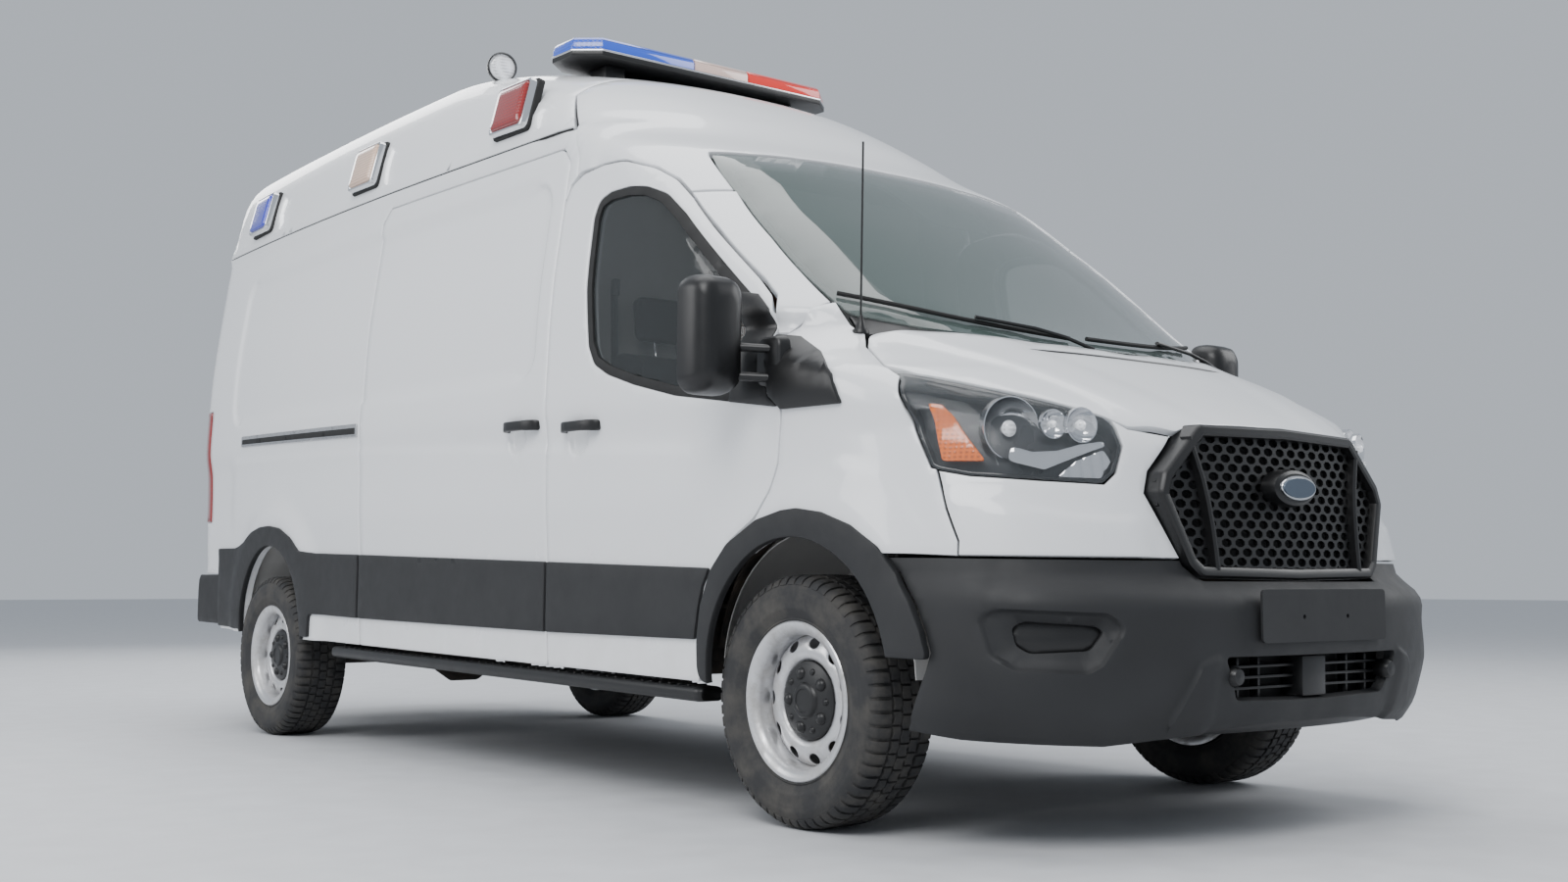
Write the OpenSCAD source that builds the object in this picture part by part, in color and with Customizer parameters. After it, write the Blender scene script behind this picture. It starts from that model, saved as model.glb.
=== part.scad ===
/* [Chassis] */
// Distance between the front and the rear axle
wheelbase = 3750; // [3740:1:3760]
// Height of the wheel centres above the ground
wheel_centre_z = 354; // [352:1:356]
// Sideways distance from the middle to each tyre's middle
wheel_offset = 866; // [860:1:870]
// Outside radius of the tyres
tyre_radius = 354; // [350:1:356]
// Width of the tyres
tyre_width = 235; // [225:1:240]
// Nose-down lean of the unladen body, in degrees
body_rake = 0.95; // [0.9:0.01:1]
// Distance of the front axle ahead of the middle of the vehicle
front_axle_lead = 1964; // [1960:1:1970]

/* [Body shell] */
// Half of the body width at the belt line
body_half_width = 1022; // [1015:1:1024]
// Thickness of doors and side walls
wall = 58; // [54:1:62]
// Height lost by the inner skin under the roof and the hood
roof_wall = 40; // [36:1:44]
// Rear face of the body behind the front axle
body_rear = 4850; // [4845:1:4855]
// Height of the roof gutter
gutter_z = 2240; // [2236:1:2244]
// Gap between neighbouring fixed panels
panel_gap = 3; // [2:1:4]
// Gap round doors and the hood
door_gap = 7; // [6:1:8]

/* [Doors and lids] */
// Rear edge of the front doors
front_door_rear = 1297; // [1295:1:1299]
// Rear edge of the sliding door
slider_rear = 2785; // [2780:1:2790]
// Lower edge of the doors
door_bottom = 383; // [382:1:386]
// Sideways place of the front door hinge lines
door_hinge_x = 1020; // [1019:1:1021]
// Lengthways place of the front door hinge lines
door_hinge_y = 22; // [21:1:23]
// Sideways place of the rear door hinge lines
rear_hinge_x = 797; // [796:1:798]

/* [Hidden] */

RIGHT = -1;
LEFT = 1;
far = 4000;
paint = [0.93, 0.94, 0.95];
plastic = [0.16, 0.17, 0.18];
glass = [0.55, 0.65, 0.65, 0.45];
steel = [0.7, 0.71, 0.73];
dark_steel = [0.22, 0.22, 0.23];
rubber = [0.07, 0.07, 0.07];

// ---- Shape of the body ----

// Centre line of the front, from the air dam up to the roof: height, place
FRONT_LINE = [
    [265, -930], [300, -985], [400, -1022], [500, -1042], [640, -1038],
    [690, -1005], [720, -958], [900, -935], [1040, -915], [1100, -880],
    [1150, -810], [1200, -720], [1260, -600], [1320, -480], [1370, -370],
    [1410, -280], [1475, -165], [1875, 375], [2090, 667], [2210, 885],
    [2330, 1070], [2437, 1255], [2530, 1450], [2600, 1680], [2650, 1880],
    [2690, 2120], [2715, 2360], [2735, 2700], [2750, 3200]
];
// How far the front curves back to the sides: height, depth
NOSE_DEPTH = [
    [265, 600], [640, 620], [900, 670], [1100, 720], [1150, 600],
    [1200, 520], [1260, 500], [1300, 600], [1370, 720], [1410, 720],
    [1475, 520], [1875, 380], [2090, 380], [2210, 480], [2437, 600],
    [2690, 650], [2750, 400]
];
// Squareness of the front curve seen from above: height, power
NOSE_POWER = [[265, 2.4], [700, 2.4], [1000, 2.15], [1200, 2.3], [2750, 2.3]];
// Inward lean of the sides: height, loss of half width
LEAN = [
    [265, 60], [330, 40], [400, 28], [560, 22], [700, 22], [800, 18],
    [1000, 17], [1120, 14], [1250, 0], [1400, 5], [1550, 12], [1700, 25],
    [1850, 45], [2000, 66], [2150, 87], [2300, 112], [2440, 142],
    [2520, 170], [2600, 215], [2650, 270], [2690, 350], [2715, 420],
    [2735, 520], [2750, 700]
];
LEVELS = [
    265, 330, 400, 500, 600, 640, 690, 720, 800, 900, 1000, 1040, 1070,
    1100, 1150, 1200, 1250, 1320, 1370, 1410, 1475, 1550, 1700, 1875,
    2000, 2090, 2210, 2330, 2437, 2530, 2600, 2650, 2690, 2715, 2735, 2750
];
TAPER_START = 2200;
TAPER = 117;
CORNER = 60;
FRONT_STEPS = 9;
SIDE_STEPS = 8;
CORNER_STEPS = 3;

function taper_share(y) = max(0, (y - TAPER_START) / (body_rear - TAPER_START));
function plan_width(y) = body_half_width - TAPER * pow(taper_share(y), 2);
function half_width(y, z) = plan_width(y) - lookup(z, LEAN);
function front_y(z) = lookup(z, FRONT_LINE);
function rear_y(z) = body_rear - 60 * pow(max(0, (z - 1900) / 850), 2);

// One half of a level's outline, from the front centre round to the back
function half_ring(z, inset) =
    let (depth = lookup(z, NOSE_DEPTH))
    let (power = 2 / lookup(z, NOSE_POWER))
    let (y_front = front_y(z) + inset)
    let (y_side = front_y(z) + depth)
    let (w = half_width(y_side, z) - inset)
    let (y_back = rear_y(z) - inset)
    let (y_corner = y_back - CORNER)
    let (w_back = half_width(y_corner, z) - inset - CORNER)
    concat(
        [for (i = [0:FRONT_STEPS])
            let (a = 90 * i / FRONT_STEPS)
            [w * pow(sin(a), power), y_front + (y_side - y_front) * (1 - pow(cos(a), power))]],
        [for (k = [1:SIDE_STEPS])
            let (y = y_side + (y_corner - y_side) * k / SIDE_STEPS)
            [half_width(y, z) - inset, y]],
        [for (j = [1:CORNER_STEPS])
            let (a = 90 * j / CORNER_STEPS)
            [w_back + CORNER * cos(a), y_corner + CORNER * sin(a)]]
    );

function ring(z, inset) =
    let (half = half_ring(z, inset))
    let (n = len(half))
    concat(
        [for (i = [0:n - 1]) [half[i][0], half[i][1], z]],
        [for (i = [n - 1:-1:1]) [-half[i][0], half[i][1], z]]
    );

// The whole closed body as a stack of level outlines
module body_form(inset) {
    rings = [for (z = LEVELS) ring(z, inset)];
    n = len(rings[0]);
    top = len(LEVELS) - 1;
    sides = [
        for (k = [0:top - 1])
            for (i = [0:n - 1])
                let (j = (i + 1) % n)
                each [
                    [k * n + i, (k + 1) * n + i, (k + 1) * n + j],
                    [k * n + i, (k + 1) * n + j, k * n + j]
                ]
    ];
    bottom_face = [[for (i = [0:n - 1]) i]];
    top_face = [[for (i = [n - 1:-1:0]) top * n + i]];
    polyhedron([for (r = rings) each r], concat(sides, bottom_face, top_face), convexity = 6);
}

// The skin of the body between two depths below its surface
module body_skin(outer = 0, inner = wall, drop = roof_wall) {
    difference() {
        translate([0, 0, -outer]) body_form(outer);
        translate([0, 0, -drop]) body_form(inner);
    }
}

// Puts a piece drawn from the front axle into the vehicle
module on_chassis() {
    translate([0, -front_axle_lead, 0]) children();
}

// The same for pieces that lean with the body
module on_body() {
    on_chassis() rotate([body_rake, 0, 0]) children();
}

// Keeps a group of curved solids as one closed mesh
module one_mesh() {
    resize([0, 0, 0]) union() children();
}

// A side-view outline, as points of length and height, pushed sideways
module side_block(points, x0, x1) {
    translate([x0, 0, 0]) rotate([90, 0, 90]) linear_extrude(x1 - x0) polygon(points);
}

// A front-view outline, as points of width and height, pushed lengthways
module front_block(points, y0, y1) {
    translate([0, y1, 0]) rotate([90, 0, 0]) linear_extrude(y1 - y0) polygon(points);
}

// A box from its two corners
module box_between(a, b) {
    translate(a) cube(b - a);
}

module mirror_copy() {
    children();
    mirror([1, 0, 0]) children();
}

// The half of space on one side of the middle
module side_half(side) {
    translate([side * (far / 2 + 1), 0, 0]) cube([far, 4 * far, 4 * far], center = true);
}

// ---- Outlines of panels, as points of length and height ----

FRONT_ARCH = [-35, 410, 405];
REAR_ARCH = [wheelbase + 5, 385, 400];
TRIM_WIDTH = 80;
TRIM_PROUD = 12;
BAND = [500, 735];
BUMPER_TOP = 757;

DOOR_OUTLINE = [
    [30, 1170], [40, 1110], [52, 1020], [85, 945], [145, 868], [265, 800],
    [350, 722], [405, 610], [424, 500], [424, door_bottom],
    [front_door_rear, door_bottom], [front_door_rear, 1960],
    [1270, 2020], [1200, 2052], [1080, 2062], [953, 2055], [803, 2008],
    [708, 1958], [604, 1880], [466, 1766], [231, 1575], [169, 1519],
    [140, 1470], [125, 1400], [80, 1215]
];
WINDOW_OUTLINE = [
    [250, 1215], [540, 1245], [900, 1320], [1020, 1385], [1060, 1450],
    [1092, 1900], [1070, 1935], [1010, 1955], [900, 1955], [800, 1930],
    [700, 1880], [270, 1530], [190, 1440], [165, 1240]
];
SLIDER_OUTLINE = [
    [front_door_rear, door_bottom], [slider_rear, door_bottom],
    [slider_rear, 2110], [slider_rear - 60, 2170], [front_door_rear + 60, 2170],
    [front_door_rear, 2110]
];
// Outlines of width and height, for one half
GLASS_HALF = [
    [0, 1392], [400, 1402], [620, 1425], [800, 1458], [818, 1600], [813, 1725],
    [790, 1871], [741, 2066], [725, 2082], [581, 2092], [380, 2103], [0, 2110]
];
HEADLIGHT_HALF = [
    [928, 1258], [932, 994], [882, 975], [758, 964], [615, 956], [580, 985],
    [550, 1053], [545, 1112], [552, 1134], [644, 1166], [775, 1206], [860, 1236]
];
GRILLE_HALF = [[0, 706], [385, 712], [425, 745], [505, 930], [485, 985], [345, 1117], [0, 1122]];
REAR_DOOR_HALF = [[6, 650], [785, 650], [785, 1550], [728, 2180], [670, 2232], [6, 2232]];
REAR_WINDOW_HALF = [[130, 1420], [690, 1420], [690, 1560], [650, 1990], [610, 2030], [130, 2030]];
// Outline of width and length, for one half of the hood
HOOD_HALF = [
    [0, -1000], [360, -960], [382, -848], [509, -799], [553, -757], [644, -682],
    [775, -559], [895, -404], [922, -311], [850, -157], [795, -98], [642, -194],
    [491, -264], [330, -321], [0, -372]
];

function mirrored(half) = concat(half, [for (i = [len(half) - 1:-1:0]) [-half[i][0], half[i][1]]]);

// A hole along the width for a wheel: arch is its place, height and radius
module wheel_hole(arch, x0, x1, grow = 0) {
    translate([x0, arch[0], arch[1]]) rotate([0, 90, 0])
        cylinder(r = arch[2] + grow, h = x1 - x0, $fn = 48);
}

// Both wheel openings through both sides
module wheel_holes(grow = 0) {
    wheel_hole(FRONT_ARCH, -far, far, grow);
    wheel_hole(REAR_ARCH, -far, far, grow);
}

// Cuts the sides for both front doors, with their gap
module door_cut() {
    for (s = [RIGHT, LEFT])
        translate([s * 1000, 0, 0]) rotate([90, 0, 90])
            linear_extrude(600, center = true) offset(delta = door_gap) polygon(DOOR_OUTLINE);
}

// Cuts through for the hood, with its gap
module hood_cut(grow) {
    translate([0, 0, 1075]) linear_extrude(400) offset(delta = grow) polygon(mirrored(HOOD_HALF));
}

module headlight_cut(grow) {
    for (s = [0, 1]) mirror([s, 0, 0])
        translate([0, -200, 0]) rotate([90, 0, 0])
            linear_extrude(far) offset(delta = grow) polygon(HEADLIGHT_HALF);
}

module grille_cut(grow) {
    translate([0, -600, 0]) rotate([90, 0, 0])
        linear_extrude(far) offset(delta = grow) polygon(mirrored(GRILLE_HALF));
}

module rear_door_cut(grow) {
    translate([0, far + 4700, 0]) rotate([90, 0, 0])
        linear_extrude(far) offset(delta = grow) polygon(mirrored(REAR_DOOR_HALF));
}

// ---- Main body ----

// The side wall behind the front door, with its pillar and rear corner
module side_panel(side) {
    color(paint) on_body() one_mesh() difference() {
        intersection() {
            union() {
                difference() {
                    body_skin();
                    box_between([-far, -far, 0], [far, front_door_rear + door_gap, far]);
                    if (side == RIGHT)
                        side_block([for (p = SLIDER_OUTLINE) [p[0], p[1] < 1000 ? 300 : p[1]]],
                            -far, 0);
                }
                difference() {
                    body_skin(wall + 6, wall + 60, roof_wall + 40);
                    box_between([-far, -far, 0], [far, 1235, far]);
                    box_between([-far, 1365, 0], [far, far * 2, far]);
                    box_between([-820, 0, 0], [820, far, far]);
                    box_between([-far, 0, 0], [far, far, 601]);
                    box_between([-far, 0, 2100], [far, far, far]);
                }
            }
            side_half(side);
            box_between([-far, 0, door_bottom], [far, far * 2, gutter_z - panel_gap]);
        }
        side_block([[1200, 2122], [1244, 2122], [1330, 2256], [1200, 2256]], -far, far);
        wheel_holes();
        rear_door_cut(door_gap);
        box_between([-792, 4600, 0], [792, far * 2, 700]);
        for (s = [RIGHT, LEFT]) translate([s * 865, 4790, 1175]) cube([150, 150, 560], center = true);
        box_between([-far, 4560, 0], [far, far * 2, 668]);
    }
}

module sliding_door() {
    color(paint) on_body() one_mesh() intersection() {
        body_skin();
        side_block([for (p = SLIDER_OUTLINE) [
            p[0] < 2000 ? p[0] + door_gap : p[0] - panel_gap,
            p[1] < 1000 ? p[1] : p[1] - panel_gap]], -far, 0);
    }
}

CAP_SEAM = [[1235, 1990], [1241, 2122], [1324, 2252], [1508, 2417], [1700, 2600], [1850, far]];

module roof() {
    color(paint) on_body() one_mesh() difference() {
        intersection() {
            body_skin();
            box_between([-far, 1200, gutter_z], [far, far * 2, far]);
        }
        side_block(concat([for (p = CAP_SEAM) p + [panel_gap, 0]], [[0, far], [0, 1990]]), -far, far);
    }
}

module roof_cap() {
    color(paint) on_body() one_mesh() difference() {
        intersection() {
            body_skin();
            side_block(concat(CAP_SEAM, [[-1000, far], [-1000, 1930], [1235, 1930]]), -far, far);
        }
        door_cut();
        side_block([[-far, 0], [780, 0], [780, 1930], [820, 2070], [-far, 2070]], -far, far);
        glass_cut(2);
    }
}

module glass_cut(grow) {
    translate([0, 1000, 0]) rotate([90, 0, 0])
        linear_extrude(far) offset(delta = grow) polygon(mirrored(GLASS_HALF));
}

// The upper corners that belong to the wings
module wing_corner() {
    difference() {
        side_block([[-520, 1180], [-520, 1300], [-100, 1500.3], [60, 1410.3], [120, 1446.3],
            [131, 1446], [131, 1180]], -far, far);
        box_between([-699.7, -far, 0], [699.7, far, far]);
    }
}

// Pillars beside the windshield, the cowl and the firewall
module cab_frame() {
    color(paint) on_body() {
        one_mesh() difference() {
            intersection() {
                body_skin();
                side_block([[-395, 1350], [-60, 1352], [110, 1450], [160, 1520], [260, 1620],
                    [747, 2068], [776, 2066], [779, 1929], [1225, 1929], [1225, 1200],
                    [0, 1200], [-395, 1330]], -far, far);
            }
            door_cut();
            glass_cut(2);
            hood_cut(door_gap);
            wing_corner();
        }
        difference() {
            box_between([-830, -130, 700], [830, -105, 1300]);
            mirror_copy() wheel_hole(FRONT_ARCH, 480, 1100, 76);
            wing_corner();
        }
    }
}

module bulkhead() {
    color([0.62, 0.63, 0.64]) on_body() difference() {
        front_block(mirrored([[0, 700], [880, 700], [880, 1500], [790, 2190], [0, 2190]]), 1400, 1425);
        front_block([[-250, 1300], [250, 1300], [250, 1800], [-250, 1800]], 1300, 1500);
    }
}

// Floor plates, frame rails, cross members and wheel housings
module floor_pan() {
    color([0.35, 0.36, 0.37]) on_body() intersection() {
        linear_extrude(1200) polygon(mirrored(FLOOR_HALF));
        union() {
            difference() {
                union() {
                    box_between([-885, 1390, 655], [885, 4770, 692]);
                    box_between([-430, 1480, 680], [430, 4650, 697]);
                    box_between([-905, 60, 560], [905, 1389.5, 600]);
                    mirror_copy() box_between([395, -700, 480], [470, 4700, 654.5]);
                    mirror_copy() box_between([850, 470, 400], [925, 3300, 559.5]);
                    for (y = [500, 1300, 2300, 3000, 4500])
                        box_between([-394.5, y, 500], [394.5, y + 60, 600]);
                }
                mirror_copy() wheel_hole(REAR_ARCH, 600, 1100, 45);
                mirror_copy() wheel_hole(FRONT_ARCH, 480, 1100, 80);
            }
            mirror_copy() difference() {
                wheel_hole(REAR_ARCH, 605, 905, 40);
                wheel_hole(REAR_ARCH, 613, 1100, 32);
                box_between([0, 0, -far], [far, far * 2, 560]);
            }
            mirror_copy() difference() {
                wheel_hole(FRONT_ARCH, 490, 915, 73);
                wheel_hole(FRONT_ARCH, 498, 1100, 65);
                box_between([0, -far, -far], [far, far, 480]);
            }
        }
    }
}
// Outline of the floor, as points of width and length, for one half
FLOOR_HALF = [
    [0, -1000], [920, -1000], [920, 2900], [911, 3300], [890, 3755],
    [863, 4195], [816, 4780], [0, 4780]
];

module front_wings() {
    color(paint) on_body() one_mesh() difference() {
        intersection() {
            body_skin(0, 20, 14);
            side_block([[-585, BUMPER_TOP + 5], [-560, 881], [-519, 990], [-520, 1300], [-100, 1500],
                [60, 1410], [120, 1446], [130, 1200], [440, 900], [440, door_bottom],
                [300, door_bottom], [300, BUMPER_TOP - 300], [-100, BUMPER_TOP]], -far, far);
        }
        door_cut();
        wheel_hole(FRONT_ARCH, -far, far);
        hood_cut(door_gap);
        headlight_cut(3);
        glass_cut(2);
        box_between([-700, -far, 0], [700, far, far]);
    }
}

module nose_panel() {
    color(paint) on_body() one_mesh() difference() {
        intersection() {
            body_skin(0, 20, 14);
            side_block([[-1100, BUMPER_TOP + 5], [-595, BUMPER_TOP + 5], [-565, 881], [-524, 985],
                [-524, 1130], [-1100, 1130]], -far, far);
        }
        hood_cut(door_gap);
        headlight_cut(3);
        grille_cut(2);
    }
}

module hood() {
    color(paint) on_body() one_mesh() intersection() {
        body_skin(0, 34, 24);
        hood_cut(0);
        box_between([-far, -far, 1128], [far, far, far]);
    }
}

module headlights() {
    color([0.75, 0.77, 0.8]) on_body() one_mesh() difference() {
        intersection() {
            body_skin(2, 110, 60);
            headlight_cut(0);
        }
        hood_cut(door_gap);
    }
}

module grille() {
    color(rubber) on_body() difference() {
        front_block(mirrored(GRILLE_HALF), -955, -880);
        front_block([for (p = mirrored(GRILLE_HALF)) [p[0] * 0.9, 915 + (p[1] - 915) * 0.88]],
            -1000, -920);
    }
}

// The bumper shell with its raised plate panel in front
module front_bumper() {
    color(plastic) {
        on_body() one_mesh() difference() {
            intersection() {
                body_skin(0, 30, 0);
                box_between([-far, -far, 268], [far, -300, BUMPER_TOP]);
            }
            wheel_hole(FRONT_ARCH, -far, far, 3);
            front_block([[-327, 390], [327, 390], [387, 500], [-387, 500]], -far, -700);
            grille_cut(2);
        }
        on_chassis() difference() {
            box_between([-280, -1062, 530], [280, -1055, 668]);
            for (x = [-99, 99]) translate([x, -1000, 596]) rotate([90, 0, 0])
                cylinder(r = 4, h = 100, $fn = 40);
        }
    }
}

// Rear bumper with a step and a tow receiver
module rear_bumper() {
    color(plastic) {
        on_body() one_mesh() difference() {
            translate([0, 66, 0]) body_skin(-4, 40, 0);
            box_between([-far, -far, 0], [far, 4575, far]);
            box_between([-far, 0, 0], [far, far * 2, 400]);
            box_between([-far, 0, 640], [far, far * 2, far]);
        }
        on_chassis() {
            box_between([-560, 4850, 395], [560, 4990, 425]);
            mirror_copy() box_between([420, 4500, 425], [470, 4870, 475]);
            difference() {
                box_between([-32, 4600, 330], [32, 4940, 394]);
                box_between([-25.5, 4700, 336.5], [25.5, 5000, 387.5]);
                translate([-60, 4890, 362]) rotate([0, 90, 0]) cylinder(r = 8, h = 120, $fn = 40);
            }
        }
    }
}

module windshield() {
    color(glass) on_body() one_mesh() intersection() {
        body_skin(4, 12, 9);
        glass_cut(-3);
    }
}

module tail_lights() {
    color([0.6, 0.05, 0.05]) on_body() one_mesh() intersection() {
        body_skin(2, 50, 40);
        mirror_copy() box_between([798, 4723, 898], [920, 4900, 1452]);
    }
}

// A hexagonal bar of coloured lamps on two feet
module light_bar() {
    color([0.2, 0.3, 0.8]) on_body() difference() {
        translate([0, 1893, 2672]) {
            linear_extrude(76) polygon([[-630, -70], [-540, -150], [540, -150], [630, -70],
                [630, 70], [540, 150], [-540, 150], [-630, 70]]);
            for (x = [-420, 420]) translate([x - 40, -60, -45]) cube([80, 120, 46]);
        }
        body_form(-0.3);
    }
}

LAMP_YS = [1770, 3040, 4330];
LAMP_Z = 2398;
LAMP = [50, 240, 190];

// Six lamps along the roof sides, and a work lamp at the right roof edge
module warning_lights() {
    color([0.8, 0.8, 0.82]) on_body() difference() {
        union() {
            mirror_copy() for (y = LAMP_YS)
                translate([half_width(y, LAMP_Z) + 2, y, LAMP_Z])
                    rotate([0, -15, (y > TAPER_START ? 1 : 0) * 2.5 * taper_share(y)])
                        cube(LAMP, center = true);
            translate([-690, 2290, 2700]) rotate([90, 0, 0]) cylinder(r = 62, h = 95, $fn = 48);
            translate([-690, 2240, 2610]) cylinder(r = 12, h = 60, $fn = 24);
        }
        body_form(-0.3);
    }
}

// Side bands and wheel arch trims that stay on the body
module cladding() {
    color(plastic) on_body() one_mesh() difference() {
        difference() {
            body_form(-TRIM_PROUD);
            body_form(-0.3);
        }
        box_between([-940, -far, 0], [940, 2500, far]);
        box_between([-800, 0, 0], [800, 4600, far]);
        box_between([-far, 4566, 0], [far, far * 2, far]);
        box_between([-far, -far, 0], [far, -640, far]);
        wheel_holes();
        difference() {
            box_between([-far, -far, 0], [far, far * 2, far]);
            side_block([[front_door_rear + door_gap, BAND[0]], [3300, BAND[0]], [3300, BAND[1]],
                [front_door_rear + door_gap, BAND[1]]], -far, far);
            side_block([[3900, 385], [4566, 385], [4566, BAND[1] + 30], [3900, BAND[1] + 30]], -far, far);
            wheel_holes(TRIM_WIDTH);
        }
        box_between([-far, -far, 0], [far, far * 2, 386]);
        door_cut();
    }
}

module side_steps() {
    color(rubber) on_body() mirror_copy() {
        box_between([885, 440, 318], [985, 3080, 366]);
        for (y = [700, 1700, 2700]) box_between([830, y, 366], [900, y + 60, 399]);
    }
}

module cab_seats() {
    color([0.12, 0.12, 0.13]) on_body() mirror_copy() {
        box_between([290, 720, 656], [750, 1180, 840]);
        box_between([270, 660, 841], [770, 1180, 960]);
        translate([0, 1185, 900]) rotate([-7, 0, 0]) {
            box_between([280, 0, 0], [760, 110, 600]);
            box_between([390, 20, 620], [650, 100, 800]);
        }
    }
}

module dashboard() {
    color([0.2, 0.2, 0.21]) on_body()
        side_block([[-60, 900], [300, 900], [390, 1000], [400, 1230], [330, 1310], [60, 1352], [-60, 1320]],
            -815, 815);
}

module engine() {
    color(dark_steel) on_body() box_between([-330, -700, 560], [330, -180, 1040]);
}

// Cross member, lower arms and struts
module front_subframe() {
    color(dark_steel) on_chassis() {
        box_between([-390, -140, 250], [390, 160, 320]);
        mirror_copy() {
            box_between([391, -60, 250], [560, 60, 290]);
            translate([530, 0, 290.5]) cylinder(r = 28, h = 480, $fn = 40);
        }
    }
}

// Axle tube with its housing, the leaf springs and the propeller shaft
module rear_axle() {
    color(dark_steel) on_chassis() {
        translate([0, wheelbase, wheel_centre_z]) rotate([0, 90, 0])
            rotate_extrude($fn = 60) polygon([
                [0, -850], [32, -850], [32, -740], [45, -740], [45, -170], [100, -130], [145, -60],
                [145, 60], [100, 130], [45, 170], [45, 740], [32, 740], [32, 850], [0, 850]]);
        mirror_copy() {
            side_block([[3080, 500], [3120, 500], [3400, 428], [3750, 405], [4100, 428], [4440, 512],
                [4440, 542], [4100, 458], [3750, 433], [3390, 458], [3110, 530], [3080, 530]], 500, 570);
        }
        translate([0, 500, 420]) rotate([-90, 0, 0]) cylinder(r = 35, h = 3090, $fn = 40);
    }
}

module exhaust_and_tank() {
    color(dark_steel) on_body() {
        box_between([490, 1000, 330], [800, 2100, 540]);
        translate([-330, 300, 400]) rotate([-90, 0, 0]) cylinder(r = 30, h = 3100, $fn = 40);
        translate([-330, 1500, 400]) rotate([-90, 0, 0]) cylinder(r = 95, h = 700, $fn = 40);
    }
}

// Cupboards along the left wall and a bench along the right
module cabinets() {
    color([0.8, 0.8, 0.78]) on_body() {
        box_between([440, 1480, 880], [820, 4300, 1300]);
        box_between([440, 1480, 1305], [820, 4300, 1880]);
        box_between([440, 1480, 693], [590, 4300, 879.5]);
        box_between([-800, 2850, 880], [-440, 4350, 1060]);
        box_between([-590, 2850, 693], [-440, 4350, 879.5]);
    }
}

module steering_wheel() {
    color(rubber) on_body() translate(STEERING_CENTRE) rotate([-48, 0, 0]) {
        rotate_extrude($fn = 60) translate([190, 0]) circle(r = 15, $fn = 24);
        for (a = [0, 120, 240]) rotate([0, 0, a + 90]) translate([0, -14, -8]) cube([182, 28, 10]);
        translate([0, 0, -30]) cylinder(r = 55, h = 45, $fn = 40);
    }
}
STEERING_CENTRE = [400, 590, 1190];

// ---- Doors ----

module front_door(side) {
    color(paint) on_body() one_mesh() difference() {
        union() {
            intersection() {
                body_skin();
                side_half(side);
                side_block(DOOR_OUTLINE, -far, far);
            }
            intersection() {
                difference() {
                    body_form(-TRIM_PROUD);
                    body_form(10);
                }
                side_half(side);
                side_block(DOOR_OUTLINE, -far, far);
                box_between([-far, 0, BAND[0]], [far, far, BAND[1]]);
            }
        }
        side_block(WINDOW_OUTLINE, -far, far);
    }
}

module door_glass(side) {
    color(glass) on_body() one_mesh() intersection() {
        body_skin(26, 32, 28);
        side_half(side);
        side_block([for (p = WINDOW_OUTLINE) [640 + (p[0] - 640) * 0.99, 1600 + (p[1] - 1600) * 0.99]],
            -far, far);
    }
}

module wing_mirror(side) {
    color(rubber) on_body() {
        translate([side * 1134, 175, 1385]) cube([200, 110, 360], center = true);
        translate([side * 1029, 165, 1325]) cube([10, 90, 100], center = true);
    }
}

module rear_door(side) {
    color(paint) on_body() one_mesh() difference() {
        intersection() {
            body_skin();
            translate([0, far + 4700, 0]) rotate([90, 0, 0]) linear_extrude(far)
                polygon([for (p = REAR_DOOR_HALF) [side * p[0], p[1]]]);
        }
        front_block([for (p = REAR_WINDOW_HALF) [side * p[0], p[1]]], 4600, far * 2);
    }
}

module rear_glass(side) {
    color(glass) on_body() one_mesh() intersection() {
        body_skin(22, 28, 20);
        front_block([for (p = REAR_WINDOW_HALF)
            [side * (410 + (p[0] - 410) * 0.99), 1725 + (p[1] - 1725) * 0.99]], 4600, far * 2);
    }
}

// ---- Wheels ----

// Upright and spindle that steer with a front wheel
module knuckle(side) {
    color(dark_steel) on_chassis() translate([0, 0, wheel_centre_z]) {
        translate([side * 640, 0, 0]) rotate([0, side * 90, 0]) cylinder(r = 32, h = 210, $fn = 40);
        translate([side * 670, 0, 0]) cube([60, 110, 260], center = true);
    }
}

module wheel_place(side, y) {
    on_chassis() translate([side * wheel_offset, y, wheel_centre_z])
        rotate([0, side * 90, 0]) children();
}

module rim(side, y) {
    color(steel) wheel_place(side, y)
        rotate_extrude($fn = 96) polygon([
            [32.05, -60], [60, -60], [70, -10], [120, 25], [160, 30], [186, 10], [186, -100],
            [205, -106], [205, -112], [220, -112], [220, -106], [192, -92], [192, 80],
            [205, 92], [220, 98], [220, 104], [205, 104], [186, 92], [186, 40], [165, 45],
            [120, 40], [75, 5], [75, 30], [60, 36], [32.05, 36]]);
}

module tyre(side, y) {
    color(rubber) wheel_place(side, y)
        rotate_extrude($fn = 96) polygon([
            [192.3, -91], [206, -98], [221, -104], [255, -116], [290, -tyre_width / 2],
            [325, -112], [346, -98], [352, -80], [tyre_radius, -50], [tyre_radius, 50], [352, 80],
            [346, 98], [325, 112], [290, tyre_width / 2], [255, 116], [221, 96], [206, 90],
            [192.3, 79]]);
}

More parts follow.
